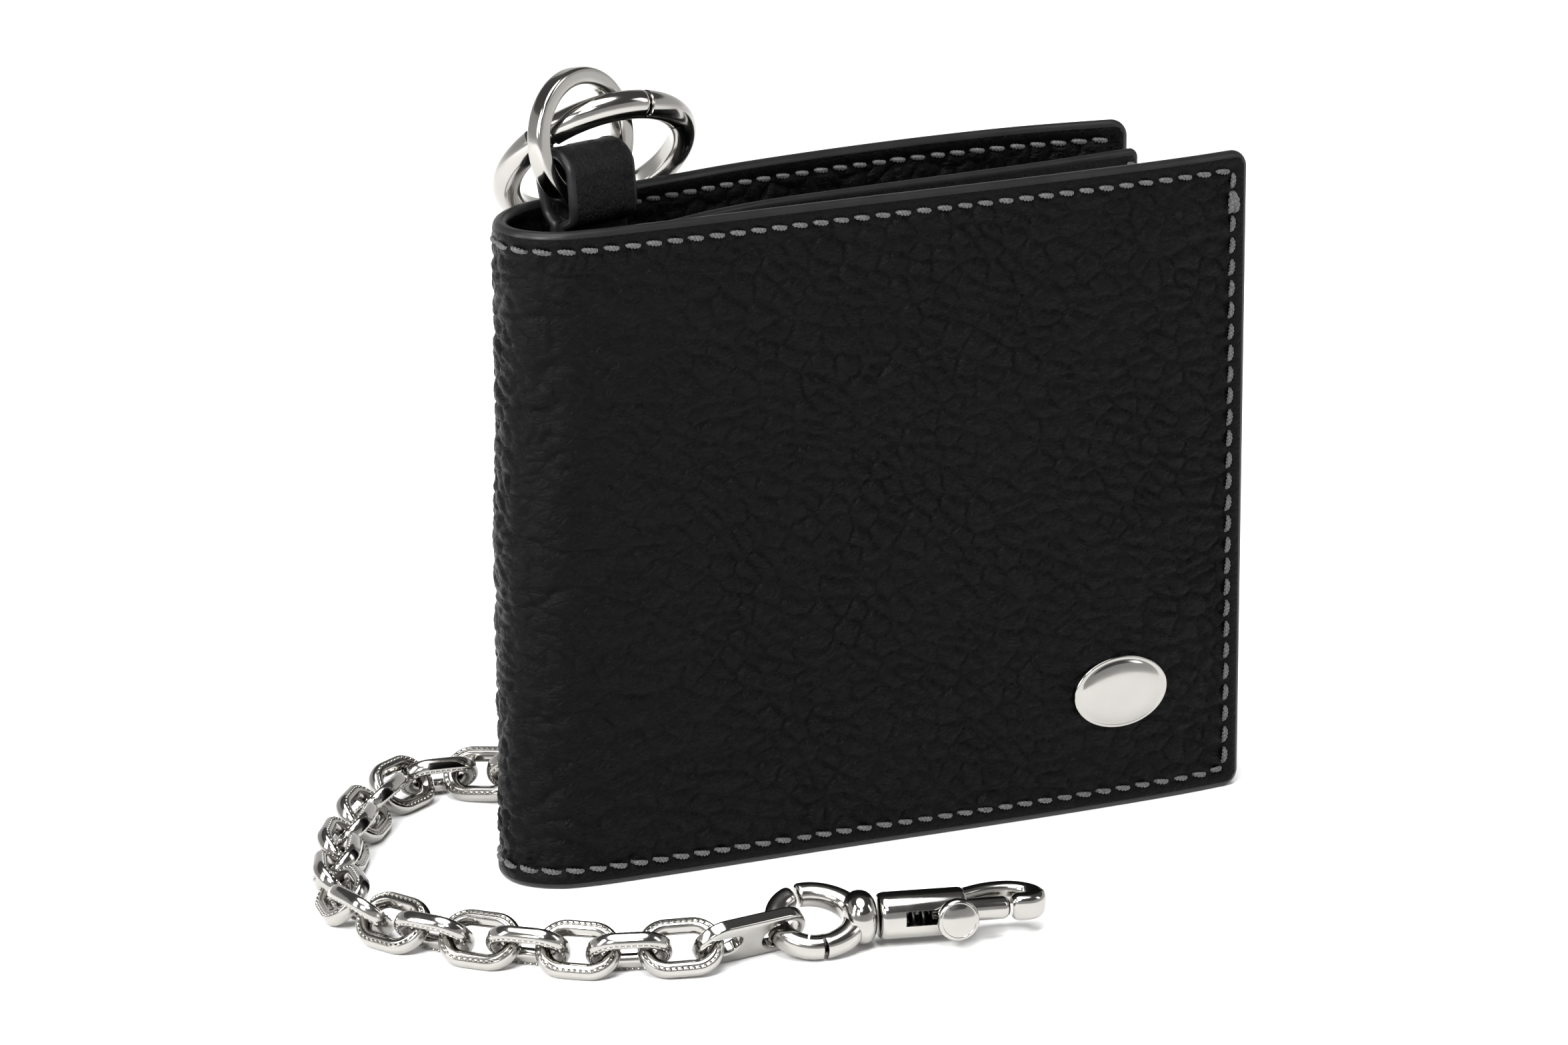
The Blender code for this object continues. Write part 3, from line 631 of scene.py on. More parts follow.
def build_cover(leather, edge):
    """One bent piece of leather from the front's free edge round the spine to the back's."""
    plan = list(reversed(FRONT_PLAN)) + SPINE_PLAN + BACK_PLAN
    sheet = Sheet(plan, LEATHER, 0.0, HEIGHT, radius=(CORNER_RADIUS, CORNER_RADIUS))
    fold_at = sheet.total * FOLD_SHARE
    obj = build_sheet("cover", sheet, COVER_SPACING, [leather, edge], None, "leather",
                      ("back_cover", "spine_cover", "front_cover"),
                      cover_relief(fold_at), cover_relief(fold_at))
    bend_with_fold(obj)
    return sheet


def bend_with_fold(obj):
    """Bakes the piece's transform into its mesh; nothing makes it bend in the spine."""
    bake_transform(obj)


def build_pockets(side, plan, mats, offsets, spans, seed):
    """Three card pockets of one half, each lower than the one behind it."""
    for number, (top, offset, span) in enumerate(zip(POCKET_TOPS, offsets, spans)):
        pocket = Sheet(plan, POCKET, LINER_LOW + 3, top, offset, span)
        build_sheet(f"{side}_pocket_{number + 1}", pocket, POCKET_SPACING, mats, f"{side}_half", "lining",
                    (f"{side}_card_pocket_{number + 1}",), lining_relief(seed + number, 0.05),
                    lining_relief(seed + 3 + number, 0.05))


def build_liners(lining, edge):
    """The liner panels and card pockets of both halves."""
    radius = (0.0, LINER_CORNER)
    mats = [lining, edge]
    step = (LINER + POCKET) / 2 + GAP
    back = Sheet(BACK_LINER_PLAN, LINER, LINER_LOW, LINER_TOP, radius=radius)
    build_sheet("back_liner_panel", back, LINER_SPACING, mats, "back_half", "lining", ("back_liner",),
                lining_relief(4.0), lining_relief(5.0))
    build_pockets("back", BACK_LINER_PLAN, mats, [-step - number * (POCKET + GAP) for number in range(3)],
                  [(start, 0.985) for start in (0.06, 0.09, 0.12)], 6.0)
    front = Sheet(FRONT_PLAN, LINER, LINER_LOW, LINER_TOP, FRONT_OFFSET, (0.07, 0.985), radius)
    build_sheet("front_liner_panel", front, LINER_SPACING, mats, "front_half", "lining", ("front_liner",),
                lining_relief(12.0), lining_relief(13.0))
    build_pockets("front", FRONT_PLAN, mats,
                  [FRONT_OFFSET + step + number * (POCKET + GAP) for number in range(3)],
                  [(0.12 + 0.02 * number, 0.97) for number in range(3)], 14.0)
    return back, front


# ---------------------------------------------------------------- stitches

def thread_between(first, last, normal, radius=THREAD, lift=0.3, turns=2.6):
    """One stitch of two twisted strands, from hole to hole, lying over the leather."""
    run = last - first
    length = run.length
    along = run / length
    side = normal.cross(along).normalized()
    stations = []
    count = 22
    for i in range(count + 1):
        t = i / count
        arch = 1 - abs(2 * t - 1) ** 3.2
        centre = first + run * t + normal * (lift * arch - 0.42 * (1 - arch))
        twist = 2 * math.pi * turns * t
        taper = 0.5 + 0.58 * math.sin(math.pi * t) ** 0.7
        section = []
        for k in range(14):
            angle = 2 * math.pi * k / 14
            reach = radius * taper * (0.52 + 0.56 * abs(math.cos(angle - twist)))
            section.append((reach * math.cos(angle), reach * math.sin(angle)))
        stations.append((centre, side, normal, section))
    return tube(stations)


def inset_outline(sheet, inset):
    """The closed seam line of a sheet in (u, z), a given inset from its outline."""
    left, right = sheet.start + inset, sheet.end - inset
    low, high = sheet.low + inset, sheet.high - inset
    points = []
    corners = ((right, low, sheet.radius[1], -90), (right, high, sheet.radius[1], 0),
               (left, high, sheet.radius[0], 90), (left, low, sheet.radius[0], 180))
    for u, z, radius, start in corners:
        bend = max(radius - inset, 0.05)
        cu = u - bend if u == right else u + bend
        cz = z + bend if z == low else z - bend
        for k in range(7):
            angle = math.radians(start + 15 * k)
            points.append((cu + bend * math.cos(angle), cz + bend * math.sin(angle)))
    return points + [points[0]]


def spaced(points, pitch):
    """Points a whole number of pitches apart along a line in (u, z)."""
    pts = np.array(points, float)
    run = np.concatenate([[0], np.cumsum(np.hypot(*np.diff(pts, axis=0).T))])
    count = max(1, round(run[-1] / pitch))
    even = np.linspace(0, run[-1], count + 1)
    return np.stack([np.interp(even, run, pts[:, 0]), np.interp(even, run, pts[:, 1])], 1)


def stitch_line(sheet, line, face, pitch=STITCH_PITCH, base=0.0):
    """Stitches on one face of a sheet along a line in (u, z), with a hole's gap between them."""
    points = spaced(line, pitch)
    parts = []
    share = STITCH_LENGTH / STITCH_PITCH
    for i, (start, end) in enumerate(zip(points, points[1:])):
        run = end - start
        length = np.hypot(*run)
        if length < 0.5:
            continue
        jitter = (hashed(float(i), 3.0, 2.0) - 0.5) * 0.10
        across = np.array([-run[1], run[0]]) / length * 0.2 * face
        middle = (start + end) / 2 + across * jitter
        ends = []
        for sign in (-1, 1):
            spot = middle + run * (sign * share / 2) + across * sign
            point, side, _ = sheet.at(spot[0])
            normal = Vector((side[0], side[1], 0.0)) * face
            place = Vector((point[0], point[1], spot[1]))
            ends.append((place + normal * (sheet.thickness / 2 + base), normal))
        normal = (ends[0][1] + ends[1][1]).normalized()
        parts.append(thread_between(ends[0][0], ends[1][0], normal, THREAD * (1 + jitter * 0.6)))
    return parts


def knot(sheet, u, z, face):
    """A heavy knot: two thick turns of thread side by side over the seam, and one across them."""
    point, side, along = sheet.at(u)
    normal = Vector((side[0], side[1], 0.0)) * face
    run = Vector((along[0], along[1], 0.0))
    base = Vector((point[0], point[1], z)) + normal * (sheet.thickness / 2 - 0.05)
    parts = []
    for shift, lean in ((-0.3, 0.22), (0.34, -0.12)):
        centre = base + run * shift
        reach = Vector((0, 0, 1.7)) + run * lean
        parts.append(thread_between(centre - reach, centre + reach, normal, 0.5, 0.42, 2.2))
    across = run * 0.75 + Vector((0, 0, 0.35))
    parts.append(thread_between(base - across, base + across, normal, 0.36, 0.62, 1.2))
    return parts


def build_seams(cover, back, front, thread):
    """The seam round the cover, its inner side along the back's top, and the liners' seams."""
    outline = inset_outline(cover, SEAM_INSET)
    parts = stitch_line(cover, outline, 1.0, base=-THREAD_SINK)
    half = cover.total * BACK_SHARE
    top = [p for p in outline if p[0] > half and p[1] > HEIGHT / 2] + [(half, cover.high - SEAM_INSET)]
    parts += stitch_line(cover, top, -1.0, base=-THREAD_SINK)
    parts += knot(cover, cover.start + SEAM_INSET, KNOT_HEIGHT, 1.0)
    obj = add_piece("cover_seam", *merge(*parts), [thread], None, "leather", smooth=180)
    bend_with_fold(obj)
    for sheet, body, name, shown in ((back, "back_half", "back_liner_seam", -1.0),
                                     (front, "front_half", "front_liner_seam", 1.0)):
        edge_line = [(sheet.end - SEAM_INSET, 6.0), (sheet.end - SEAM_INSET, sheet.high - 4.0),
                     (sheet.end - 4.0, sheet.high - SEAM_INSET), (sheet.start + 6.0, sheet.high - SEAM_INSET)]
        more = stitch_line(sheet, edge_line, shown, base=-0.05)
        if body == "back_half":
            more += stitch_line(sheet, edge_line[:2], 1.0, base=-0.05)
            more += knot(sheet, sheet.end - 1.6, sheet.high - 3.4, shown)
        add_piece(name, *merge(*more), [thread], body, "leather", smooth=180)


# ---------------------------------------------------------------- tab

def o_ring_axes():
    """The O-ring's level axis and its normal."""
    flat = heading(O_RING_HEADING)
    lean = math.radians(O_RING_LEAN)
    normal = Vector((flat.y * math.cos(lean), -flat.x * math.cos(lean), math.sin(lean)))
    return flat, normal


def build_tab(leather, edge):
    """A strap folded over the O-ring in a drop-shaped loop, wider on its front side, with creases."""
    ring_flat, ring_normal = o_ring_axes()
    down = ring_flat.cross(ring_normal).normalized()
    down = down if down.z < 0 else -down
    flat = heading(TAB_HEADING)
    back = Vector((-flat.y, flat.x, 0.0))
    reach = O_RING_MID + O_RING_RADIAL / 2
    low = O_RING_CENTRE + down * reach
    fold = O_RING_CENTRE + down * (reach - 5.4)
    bend = O_RING_AXIAL / 2 + STRAP_HOLD + STRAP_BEND_ROOM + STRAP / 2
    hold = O_RING_AXIAL / 2 + STRAP_HOLD + STRAP / 2
    leg = [Vector((low.x, low.y, z)) for z in (62.0, 76.0, 91.2, 92.9)]
    gaps = (0.86, 0.88, 0.95, 1.45)
    path = [p - back * g for p, g in zip(leg, gaps)]
    path.append(low - back * (hold + FRONT_HOLD_ROOM))
    for angle in (180, 150, 120, 90, 60, 30, 0):
        turn = math.radians(angle)
        width = bend + (FRONT_BEND_ROOM if angle > 90 else 0.0)
        path.append(fold + back * width * math.cos(turn) + Vector((0, 0, bend * math.sin(turn))))
    path.append(low + back * hold)
    path += [p + back * g for p, g in zip(reversed(leg), reversed(gaps))]
    line = smooth_line(path, 150)
    across = np.array([-6.1, -6.07, -5.98, -5.82, -5.6, -5.3, -4.8] + list(np.linspace(-4.3, 4.1, 17))
                      + [4.6, 5.1, 5.4, 5.62, 5.78, 5.87, 5.9])
    verts, faces, marks, uvs = [], [], [], []
    columns = len(across)
    run = 0.0
    for i, point in enumerate(line):
        ahead, behind = line[min(i + 1, len(line) - 1)], line[max(i - 1, 0)]
        along = (ahead - behind).normalized()
        normal = flat.cross(along).normalized()
        run += (point - line[i - 1]).length if i else 0.0
        for face in (1, -1):
            for w in across:
                near = min(w + 6.1, 5.9 - w)
                half = STRAP / 2 * math.sqrt(max(1 - (1 - min(near / 0.8, 1.0)) ** 2, 0))
                wave = float(soft_noise(np.array(run / 1.1), np.array(w / 6), 40))
                crease = 0.16 * (1 - abs(2 * wave - 1)) ** 3
                grain = 0.09 * float(soft_noise(np.array(run / 2.2), np.array(w / 0.75), 41))
                lip = 0.06 * math.exp(-((near - 1.3) / 0.4) ** 2)
                rise = half - (crease + grain) * min(near, 1.0) + lip
                verts.append(point + flat * w + normal * face * rise)
                uvs.append((run + (200 if face < 0 else 0), w))
    for i in range(len(line) - 1):
        a, b = i * 2 * columns, (i + 1) * 2 * columns
        for k in range(columns - 1):
            faces.append((a + k, a + k + 1, b + k + 1, b + k))
            faces.append((a + columns + k, b + columns + k, b + columns + k + 1, a + columns + k + 1))
            marks += [int(k < 5 or k > columns - 7)] * 2
        faces.append((a, b, b + columns, a + columns))
        faces.append((a + columns - 1, a + 2 * columns - 1, b + 2 * columns - 1, b + columns - 1))
        marks += [1, 1]
    last = (len(line) - 1) * 2 * columns
    for base in (0, last):
        for k in range(columns - 1):
            faces.append((base + k, base + k + 1, base + columns + k + 1, base + columns + k))
            marks.append(1)
    obj = add_piece("tab", verts, faces, [leather, edge], "back_half", "leather", ("tab_strap",),
                    marks=marks, uvs=uvs, smooth=180)
    return outward(obj)


def smooth_line(points, count):
    """Evenly spaced points on a Catmull-Rom line through points in space."""
    dense = dense_curve(points, 24)
    runs = [0.0]
    for a, b in zip(dense, dense[1:]):
        runs.append(runs[-1] + (b - a).length)
    even = np.linspace(0, runs[-1], count)
    axes = [np.interp(even, runs, [p[k] for p in dense]) for k in range(3)]
    return [Vector(p) for p in zip(*axes)]


# ---------------------------------------------------------------- rings

def soft_box(radial, axial, power=3.2, sides=36):
    """A rounded-square section of a ring or link."""
    points = []
    for k in range(sides):
        angle = 2 * math.pi * k / sides
        c, s = math.cos(angle), math.sin(angle)
        points.append((radial / 2 * math.copysign(abs(c) ** (2 / power), c),
                       axial / 2 * math.copysign(abs(s) ** (2 / power), s)))
    return points


def build_o_ring(metal):
    """The O-ring, of nearly square section."""
    flat, normal = o_ring_axes()
    section = soft_box(O_RING_RADIAL, O_RING_AXIAL, 4.6, 48)
    pairs = [(angle, section) for angle in np.linspace(0, 360, 145)[:-1]]
    ring = stepped(O_RING_CENTRE, flat, normal.cross(flat), O_RING_MID, pairs, True)
    metal_piece("o_ring_shown", ring, metal, "o_ring", ("o_ring",), smooth=60)


def ring_axes():
    """The gate ring's level axis and the one that rises."""
    normal = GATE_RING_NORMAL
    across = Vector((normal.y, -normal.x, 0)).normalized()
    rise = across.cross(normal)
    rise = rise if rise.z > 0 else -rise
    return across, rise


def gate_section(radius, keep=None, sides=40):
    """Round wire, a little flat inside, with one fine ridge line on each side; keep is a half of it."""
    points = []
    for k in range(sides):
        angle = 2 * math.pi * k / sides
        ridge = 0.09 * math.exp(-((abs(math.degrees(angle) - 180) - 76) / 8) ** 2)
        a = (radius + ridge) * math.cos(angle)
        b = (radius + ridge) * math.sin(angle)
        a = max(a, -radius * 0.86)
        if keep == "outer":
            a = max(a, 0.06)
        if keep == "inner":
            a = min(a, -0.06)
        points.append((a, b))
    return points


def shrunk(section, amount):
    """A section made smaller by a share."""
    return [(a * (1 - amount), b * (1 - amount)) for a, b in section]


def stepped(centre, across, rise, mid, pairs, closed=False):
    """A ring, or a part of one, from (angle, section) pairs."""
    normal = across.cross(rise)
    stations = []
    for angle, section in pairs:
        a = math.radians(angle)
        out = across * math.cos(a) + rise * math.sin(a)
        stations.append((centre + out * mid, out, normal, section))
    return tube(stations, closed)


def build_gate_ring(metal):
    """Ring body, gate and hinge pin; at the joints each side keeps one half of the wire."""
    across, rise = ring_axes()
    whole = gate_section(GATE_RADIUS)
    outer = gate_section(GATE_RADIUS, "outer")
    inner = gate_section(GATE_RADIUS, "inner")
    mid = GATE_RING_MID
    body = [(GATE_HINGE_END + 1.3, shrunk(whole, 0.12)), (GATE_HINGE_END + 2.0, whole)]
    body += [(a, whole) for a in np.linspace(GATE_HINGE_END + 4, 360 + GATE_TONGUE_END - 2.2, 130)]
    body += [(a, outer) for a in np.linspace(360 + GATE_TONGUE_END - 2.15, 360 + GATE_FREE_END - 2.9, 18)]
    body.append((360 + GATE_FREE_END - 2.1, shrunk(outer, 0.14)))
    ring = stepped(GATE_RING_CENTRE, across, rise, mid, body)
    metal_piece("gate_ring_body", ring, metal, "gate_ring", ("gate_ring",), smooth=50)
    gate = [(GATE_TONGUE_END, shrunk(inner, 0.14)), (GATE_TONGUE_END + 0.8, inner)]
    gate += [(a, inner) for a in np.linspace(GATE_TONGUE_END + 2, GATE_FREE_END - 0.05, 18)]
    gate += [(GATE_FREE_END, shrunk(whole, 0.07)), (GATE_FREE_END + 0.8, whole)]
    gate += [(a, whole) for a in np.linspace(GATE_FREE_END + 2, GATE_HINGE_END - 11.2, 44)]
    gate += [(GATE_HINGE_END - 10.6, shrunk(whole, 0.06)), (GATE_HINGE_END - 10.5, shrunk(outer, 0.06))]
    gate += [(GATE_HINGE_END - 3.8, outer), (GATE_HINGE_END - 2.6, shrunk(outer, 0.14))]
    bar = stepped(GATE_RING_CENTRE, across, rise, mid, gate)
    metal_piece("gate_bar", bar, metal, "gate_ring_gate", ("gate_ring_gate",), smooth=50)
    hinge = math.radians(GATE_HINGE_END - 6.2)
    out = across * math.cos(hinge) + rise * math.sin(hinge)
    place = frame_matrix(GATE_RING_CENTRE + out * (mid + 0.2), across.cross(rise), out)
    pin = turned([(-2.1, 0.5), (-2.06, 0.6), (2.06, 0.6), (2.1, 0.5)], 24)
    metal_piece("gate_hinge_pin", placed(pin, place), metal, "gate_ring_gate")


# ---------------------------------------------------------------- links and connectors

def link_path(half_width, straight, step=15):
    """Points and outward directions round a link's middle line, in its own plane."""
    points = []
    for centre, start in ((straight, -90), (-straight, 90)):
        for i in range(180 // step + 1):
            angle = math.radians(start + step * i)
            out = Vector((math.cos(angle), math.sin(angle), 0.0))
            points.append((Vector((centre, 0, 0)) + out * half_width, out))
        side = Vector((0, 1 if start < 0 else -1, 0))
        points.append((side * half_width, side))
    return points


def link_mesh(metal):
    """One link: a rounded outer rim, chamfered inner band, and a row of small beads on both faces."""
    half_width = (LINK_WIDTH - LINK_WIRE) / 2
    straight = (LINK_LENGTH - LINK_WIRE) / 2 - half_width
    up = Vector((0, 0, 1))
    half = [(1.15, 0.0), (1.14, 0.30), (1.09, 0.56), (0.98, 0.80), (0.82, 0.97), (0.70, 1.02),
            (0.62, 0.965), (0.28, 0.965), (0.20, 1.03), (0.02, 1.06), (-0.26, 1.04), (-0.34, 1.0),
            (-0.66, 0.78), (-0.92, 0.5), (-1.02, 0.36), (-1.08, 0.16)]
    section = half + [(-1.1, 0.0)] + [(a, -b) for a, b in reversed(half[1:])]
    stations = [(point, out, up, section) for point, out in link_path(half_width, straight, 10)]
    parts = [tube(stations, True)]
    line_half = half_width + 0.45
    total = 4 * straight + 2 * math.pi * line_half
    count = 36
    for i in range(count):
        s = (i + 0.5) / count * total
        point, out, along = on_stadium(s, line_half, straight)
        for face in (1, -1):
            parts.append(bead(point + up * face * 0.95, along, out, up * face, 0.58, 0.40, 0.24, 5, 8))
    verts, faces = merge(*parts)
    mesh = bpy.data.meshes.new("link_shared")
    mesh.from_pydata([tuple(v * MM) for v in verts], [], faces)
    mesh.materials.append(metal)
    mesh.shade_smooth()
    mesh.set_sharp_from_angle(angle=math.radians(38))
    face_out(mesh)
    return mesh


def on_stadium(s, radius, straight):
    """Point, outward direction and run at a distance round a stadium."""
    turn = math.pi * radius
    if s < 2 * straight:
        return Vector((s - straight, -radius, 0)), Vector((0, -1, 0)), Vector((1, 0, 0))
    s -= 2 * straight
    if s < turn:
        a = -math.pi / 2 + s / radius
        out = Vector((math.cos(a), math.sin(a), 0))
        return Vector((straight, 0, 0)) + out * radius, out, Vector((-out.y, out.x, 0))
    s -= turn
    if s < 2 * straight:
        return Vector((straight - s, radius, 0)), Vector((0, 1, 0)), Vector((-1, 0, 0))
    s -= 2 * straight
    a = math.pi / 2 + s / radius
    out = Vector((math.cos(a), math.sin(a), 0))
    return Vector((-straight, 0, 0)) + out * radius, out, Vector((-out.y, out.x, 0))


def axes_of(name):
    """The middle of a flat CAD node, and its long and thin directions, in metres."""
    mesh = frame["nodes"][name].data
    co = np.empty(len(mesh.vertices) * 3)
    mesh.vertices.foreach_get("co", co)
    co = np.unique(np.round(co.reshape(-1, 3), 7), axis=0)
    _, vectors = np.linalg.eigh(np.cov((co - co.mean(0)).T))
    long, wide, thin = vectors[:, 2], vectors[:, 1], vectors[:, 0]
    low, high = co @ long, co @ wide
    flat = co @ thin
    middle = long * (low.min() + low.max()) / 2 + wide * (high.min() + high.max()) / 2
    middle = middle + thin * (flat.min() + flat.max()) / 2
    return Vector(middle), Vector(long), Vector(thin)


def show_in_place(name, mesh, place, body):
    """Shows a metre-sized mesh for the CAD node of that name."""
    obj = linked(name + "_shown", mesh)
    obj.matrix_world = place
    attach(obj, body)
    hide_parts(name)


def build_links(metal):
    """All chain links share one mesh; each takes its CAD node's place."""
    mesh = link_mesh(metal)
    for name in sorted(n for n in frame["nodes"] if n.startswith("chain_link_")):
        middle, long, thin = axes_of(name)
        bodies = frame["record"]["behaviour"]["bodies"]
        body = next(b for b, nodes in bodies.items() if name in nodes)
        show_in_place(name, mesh, frame_matrix(middle, long, thin), body)


def plate_mesh(name, loops, thickness, bevel):
    """A flat plate with holes whose edges are all rounded, in local millimetres."""
    curve = bpy.data.curves.new(name, "CURVE")
    curve.dimensions = "2D"
    curve.fill_mode = "BOTH"
    curve.extrude = thickness / 2 - bevel
    curve.bevel_depth = bevel
    curve.bevel_resolution = 4
    curve.offset = -bevel
    for loop in loops:
        spline = curve.splines.new("POLY")
        spline.points.add(len(loop) - 1)
        for point, (x, y) in zip(spline.points, loop):
            point.co = (x, y, 0.0, 1.0)
        spline.use_cyclic_u = True
    obj = linked(name, curve)
    graph = bpy.context.evaluated_depsgraph_get()
    mesh = bpy.data.meshes.new_from_object(obj.evaluated_get(graph))
    bpy.data.objects.remove(obj)
    face_out(mesh, weld=0.0005)
    return mesh


def stadium(radius, left, right, step=6):
    """An outline of two half circles and the straight lines between them."""
    points = []
    for centre, start in ((right, -90), (left, 90)):
        for i in range(180 // step + 1):
            angle = math.radians(start + step * i)
            points.append((centre + radius * math.cos(angle), radius * math.sin(angle)))
    return points


def build_connector(name, hole, metal):
    """A long flat link: an eye for the ring at one end and a slot for the chain at the other."""
    middle, long, thin = axes_of(name)
    child = name if "upper" in name else "clip_ring_gate"
    joint = next(j for j in frame["joints"] if j["child"] == child)
    eye_spot = Vector(joint["pos_m"])
    if (eye_spot - middle).dot(long) > 0:
        long = -long
    outer_radius = max(hole, SLOT_HALF_WIDTH) + CONNECTOR_RIM
    reach = CONNECTOR_LENGTH / 2 - outer_radius
    eye = -(CONNECTOR_LENGTH / 2 - hole - CONNECTOR_RIM)
    slot_end = CONNECTOR_LENGTH / 2 - CONNECTOR_RIM - SLOT_HALF_WIDTH
    slot_start = slot_end - SLOT_LENGTH + 2 * SLOT_HALF_WIDTH
    loops = [stadium(outer_radius, -reach, reach),
             stadium(hole, eye, eye)[::-1],
             stadium(SLOT_HALF_WIDTH, slot_start, slot_end)[::-1]]
    mesh = plate_mesh(name + "_shown", loops, CONNECTOR_THICK, 0.42)
    mesh.transform(Matrix.Scale(MM, 4))
    mesh.materials.append(metal)
    mesh.shade_smooth()
    mesh.set_sharp_from_angle(angle=math.radians(35))
    show_in_place(name, mesh, frame_matrix(middle, long, thin), name)


# ---------------------------------------------------------------- clip

def clip_place():
    """The clip's own frame: X along it and Z up."""
    along = heading(CLIP_HEADING)
    return frame_matrix(CLIP_SPOT, along, Vector((0, 0, 1))), along


def clip_ring_axes():
    """The clip ring's middle and its two axes."""
    _, along = clip_place()
    away = Vector((-along.y, along.x, 0.0))
    tilt = math.radians(28)
    across = away * math.cos(tilt) + Vector((0, 0, 1)) * math.sin(tilt)
    centre = CLIP_SPOT - along * CLIP_RING_BACK
    return centre, along, across


def clip_section(keep=None):
    """The clip ring's section; keep is a half of it."""
    points = soft_box(CLIP_WIRE, CLIP_WIRE, 2.5, 36)
    if keep == "outer":
        points = [(max(a, 0.1), b) for a, b in points]
    if keep == "inner":
        points = [(min(a, -0.05), b) for a, b in points]
    return points


def build_clip_ring(metal):
    """Ring body with its swivel ball, and the hinged segment with rounded ends."""
    centre, along, across = clip_ring_axes()
    whole, inner, outer = clip_section(), clip_section("inner"), clip_section("outer")
    start = SEGMENT_FREE_END - 360 + 4.0
    cut_end = SEGMENT_FREE_END - 360 + 30.0
    body = [(start, shrunk(inner, 0.1)), (start + 1.2, inner)]
    body += [(a, inner) for a in np.linspace(start + 3, cut_end, 9)]
    body += [(cut_end + 0.05, whole)]
    for a in np.linspace(cut_end + 3, SEGMENT_HINGE_END - 11.0, 64):
        swell = 1 + 0.14 * math.exp(-(a / 48) ** 2)
        shift = 1.25 * math.exp(-(a / 46) ** 2)
        body.append((a, [(x * swell + shift, y * swell) for x, y in whole]))
    body += [(SEGMENT_HINGE_END - 8.0, shrunk(whole, 0.06))]
    body += [(SEGMENT_HINGE_END - 6.0, shrunk(whole, 0.3))]
    ring = stepped(centre, along, across, CLIP_RING_MID, body)
    place, _ = clip_place()
    profile = [(-4.9, 1.0), (-4.75, 1.7), (-4.55, 2.35), (-4.2, 3.0), (-3.75, 3.45),
               (-3.2, 3.72), (-2.6, 3.82), (-2.0, 3.78), (-1.5, 3.62), (-1.05, 3.32),
               (-0.7, 2.9), (-0.48, 2.45), (-0.38, 2.0), (-0.35, 1.6)]
    ball = placed(turned(profile, 72), place)
    metal_piece("clip_ring_body", merge(ring, ball), metal, "clip_ring", ("clip_ring",), smooth=48)
    gate = [(SEGMENT_HINGE_END + 1.0, shrunk(whole, 0.38)), (SEGMENT_HINGE_END + 3.0, shrunk(whole, 0.16)),
            (SEGMENT_HINGE_END + 6.0, shrunk(whole, 0.04))]
    gate += [(a, whole) for a in np.linspace(SEGMENT_HINGE_END + 10, SEGMENT_FREE_END - 0.1, 40)]
    gate += [(a, outer) for a in np.linspace(SEGMENT_FREE_END, SEGMENT_FREE_END + 24.0, 12)]
    gate += [(SEGMENT_FREE_END + 25.5, shrunk(outer, 0.12))]
    segment = stepped(centre, along, across, CLIP_RING_MID, gate)
    metal_piece("clip_ring_segment", segment, metal, "clip_ring_gate", ("clip_ring_gate",), smooth=48)


def solid(name, part):
    """A plain object from (verts, faces), to carve with."""
    mesh = bpy.data.meshes.new(name)
    mesh.from_pydata([tuple(v) for v in part[0]], [], part[1])
    return outward(linked(name, mesh))


def carved(name, base, joined, removed, bevel):
    """A solid with others joined and cut away, and its edges rounded; returns verts and faces."""
    target = solid(name, base)
    helpers = []
    for kind, parts in (("UNION", joined), ("DIFFERENCE", removed)):
        for part in parts:
            tool = solid(name + "_tool", part)
            helpers.append(tool)
            change = target.modifiers.new("carve", "BOOLEAN")
            change.operation = kind
            change.solver = "EXACT"
            change.object = tool
    if bevel:
        change = target.modifiers.new("round", "BEVEL")
        change.width = bevel
        change.segments = 3
        change.limit_method = "ANGLE"
        change.angle_limit = math.radians(50)
        change.use_clamp_overlap = True
    graph = bpy.context.evaluated_depsgraph_get()
    mesh = bpy.data.meshes.new_from_object(target.evaluated_get(graph))
    verts = [v.co.copy() for v in mesh.vertices]
    faces = [tuple(p.vertices) for p in mesh.polygons]
    for obj in helpers + [target]:
        bpy.data.objects.remove(obj)
    return verts, faces


def box_part(x0, x1, y0, y1, z0, z1):
    """A box as (verts, faces)."""
    verts = [Vector((x, y, z)) for x in (x0, x1) for y in (y0, y1) for z in (z0, z1)]
    faces = [(0, 1, 3, 2), (4, 6, 7, 5), (0, 4, 5, 1), (2, 3, 7, 6), (0, 2, 6, 4), (1, 5, 7, 3)]
    return verts, faces


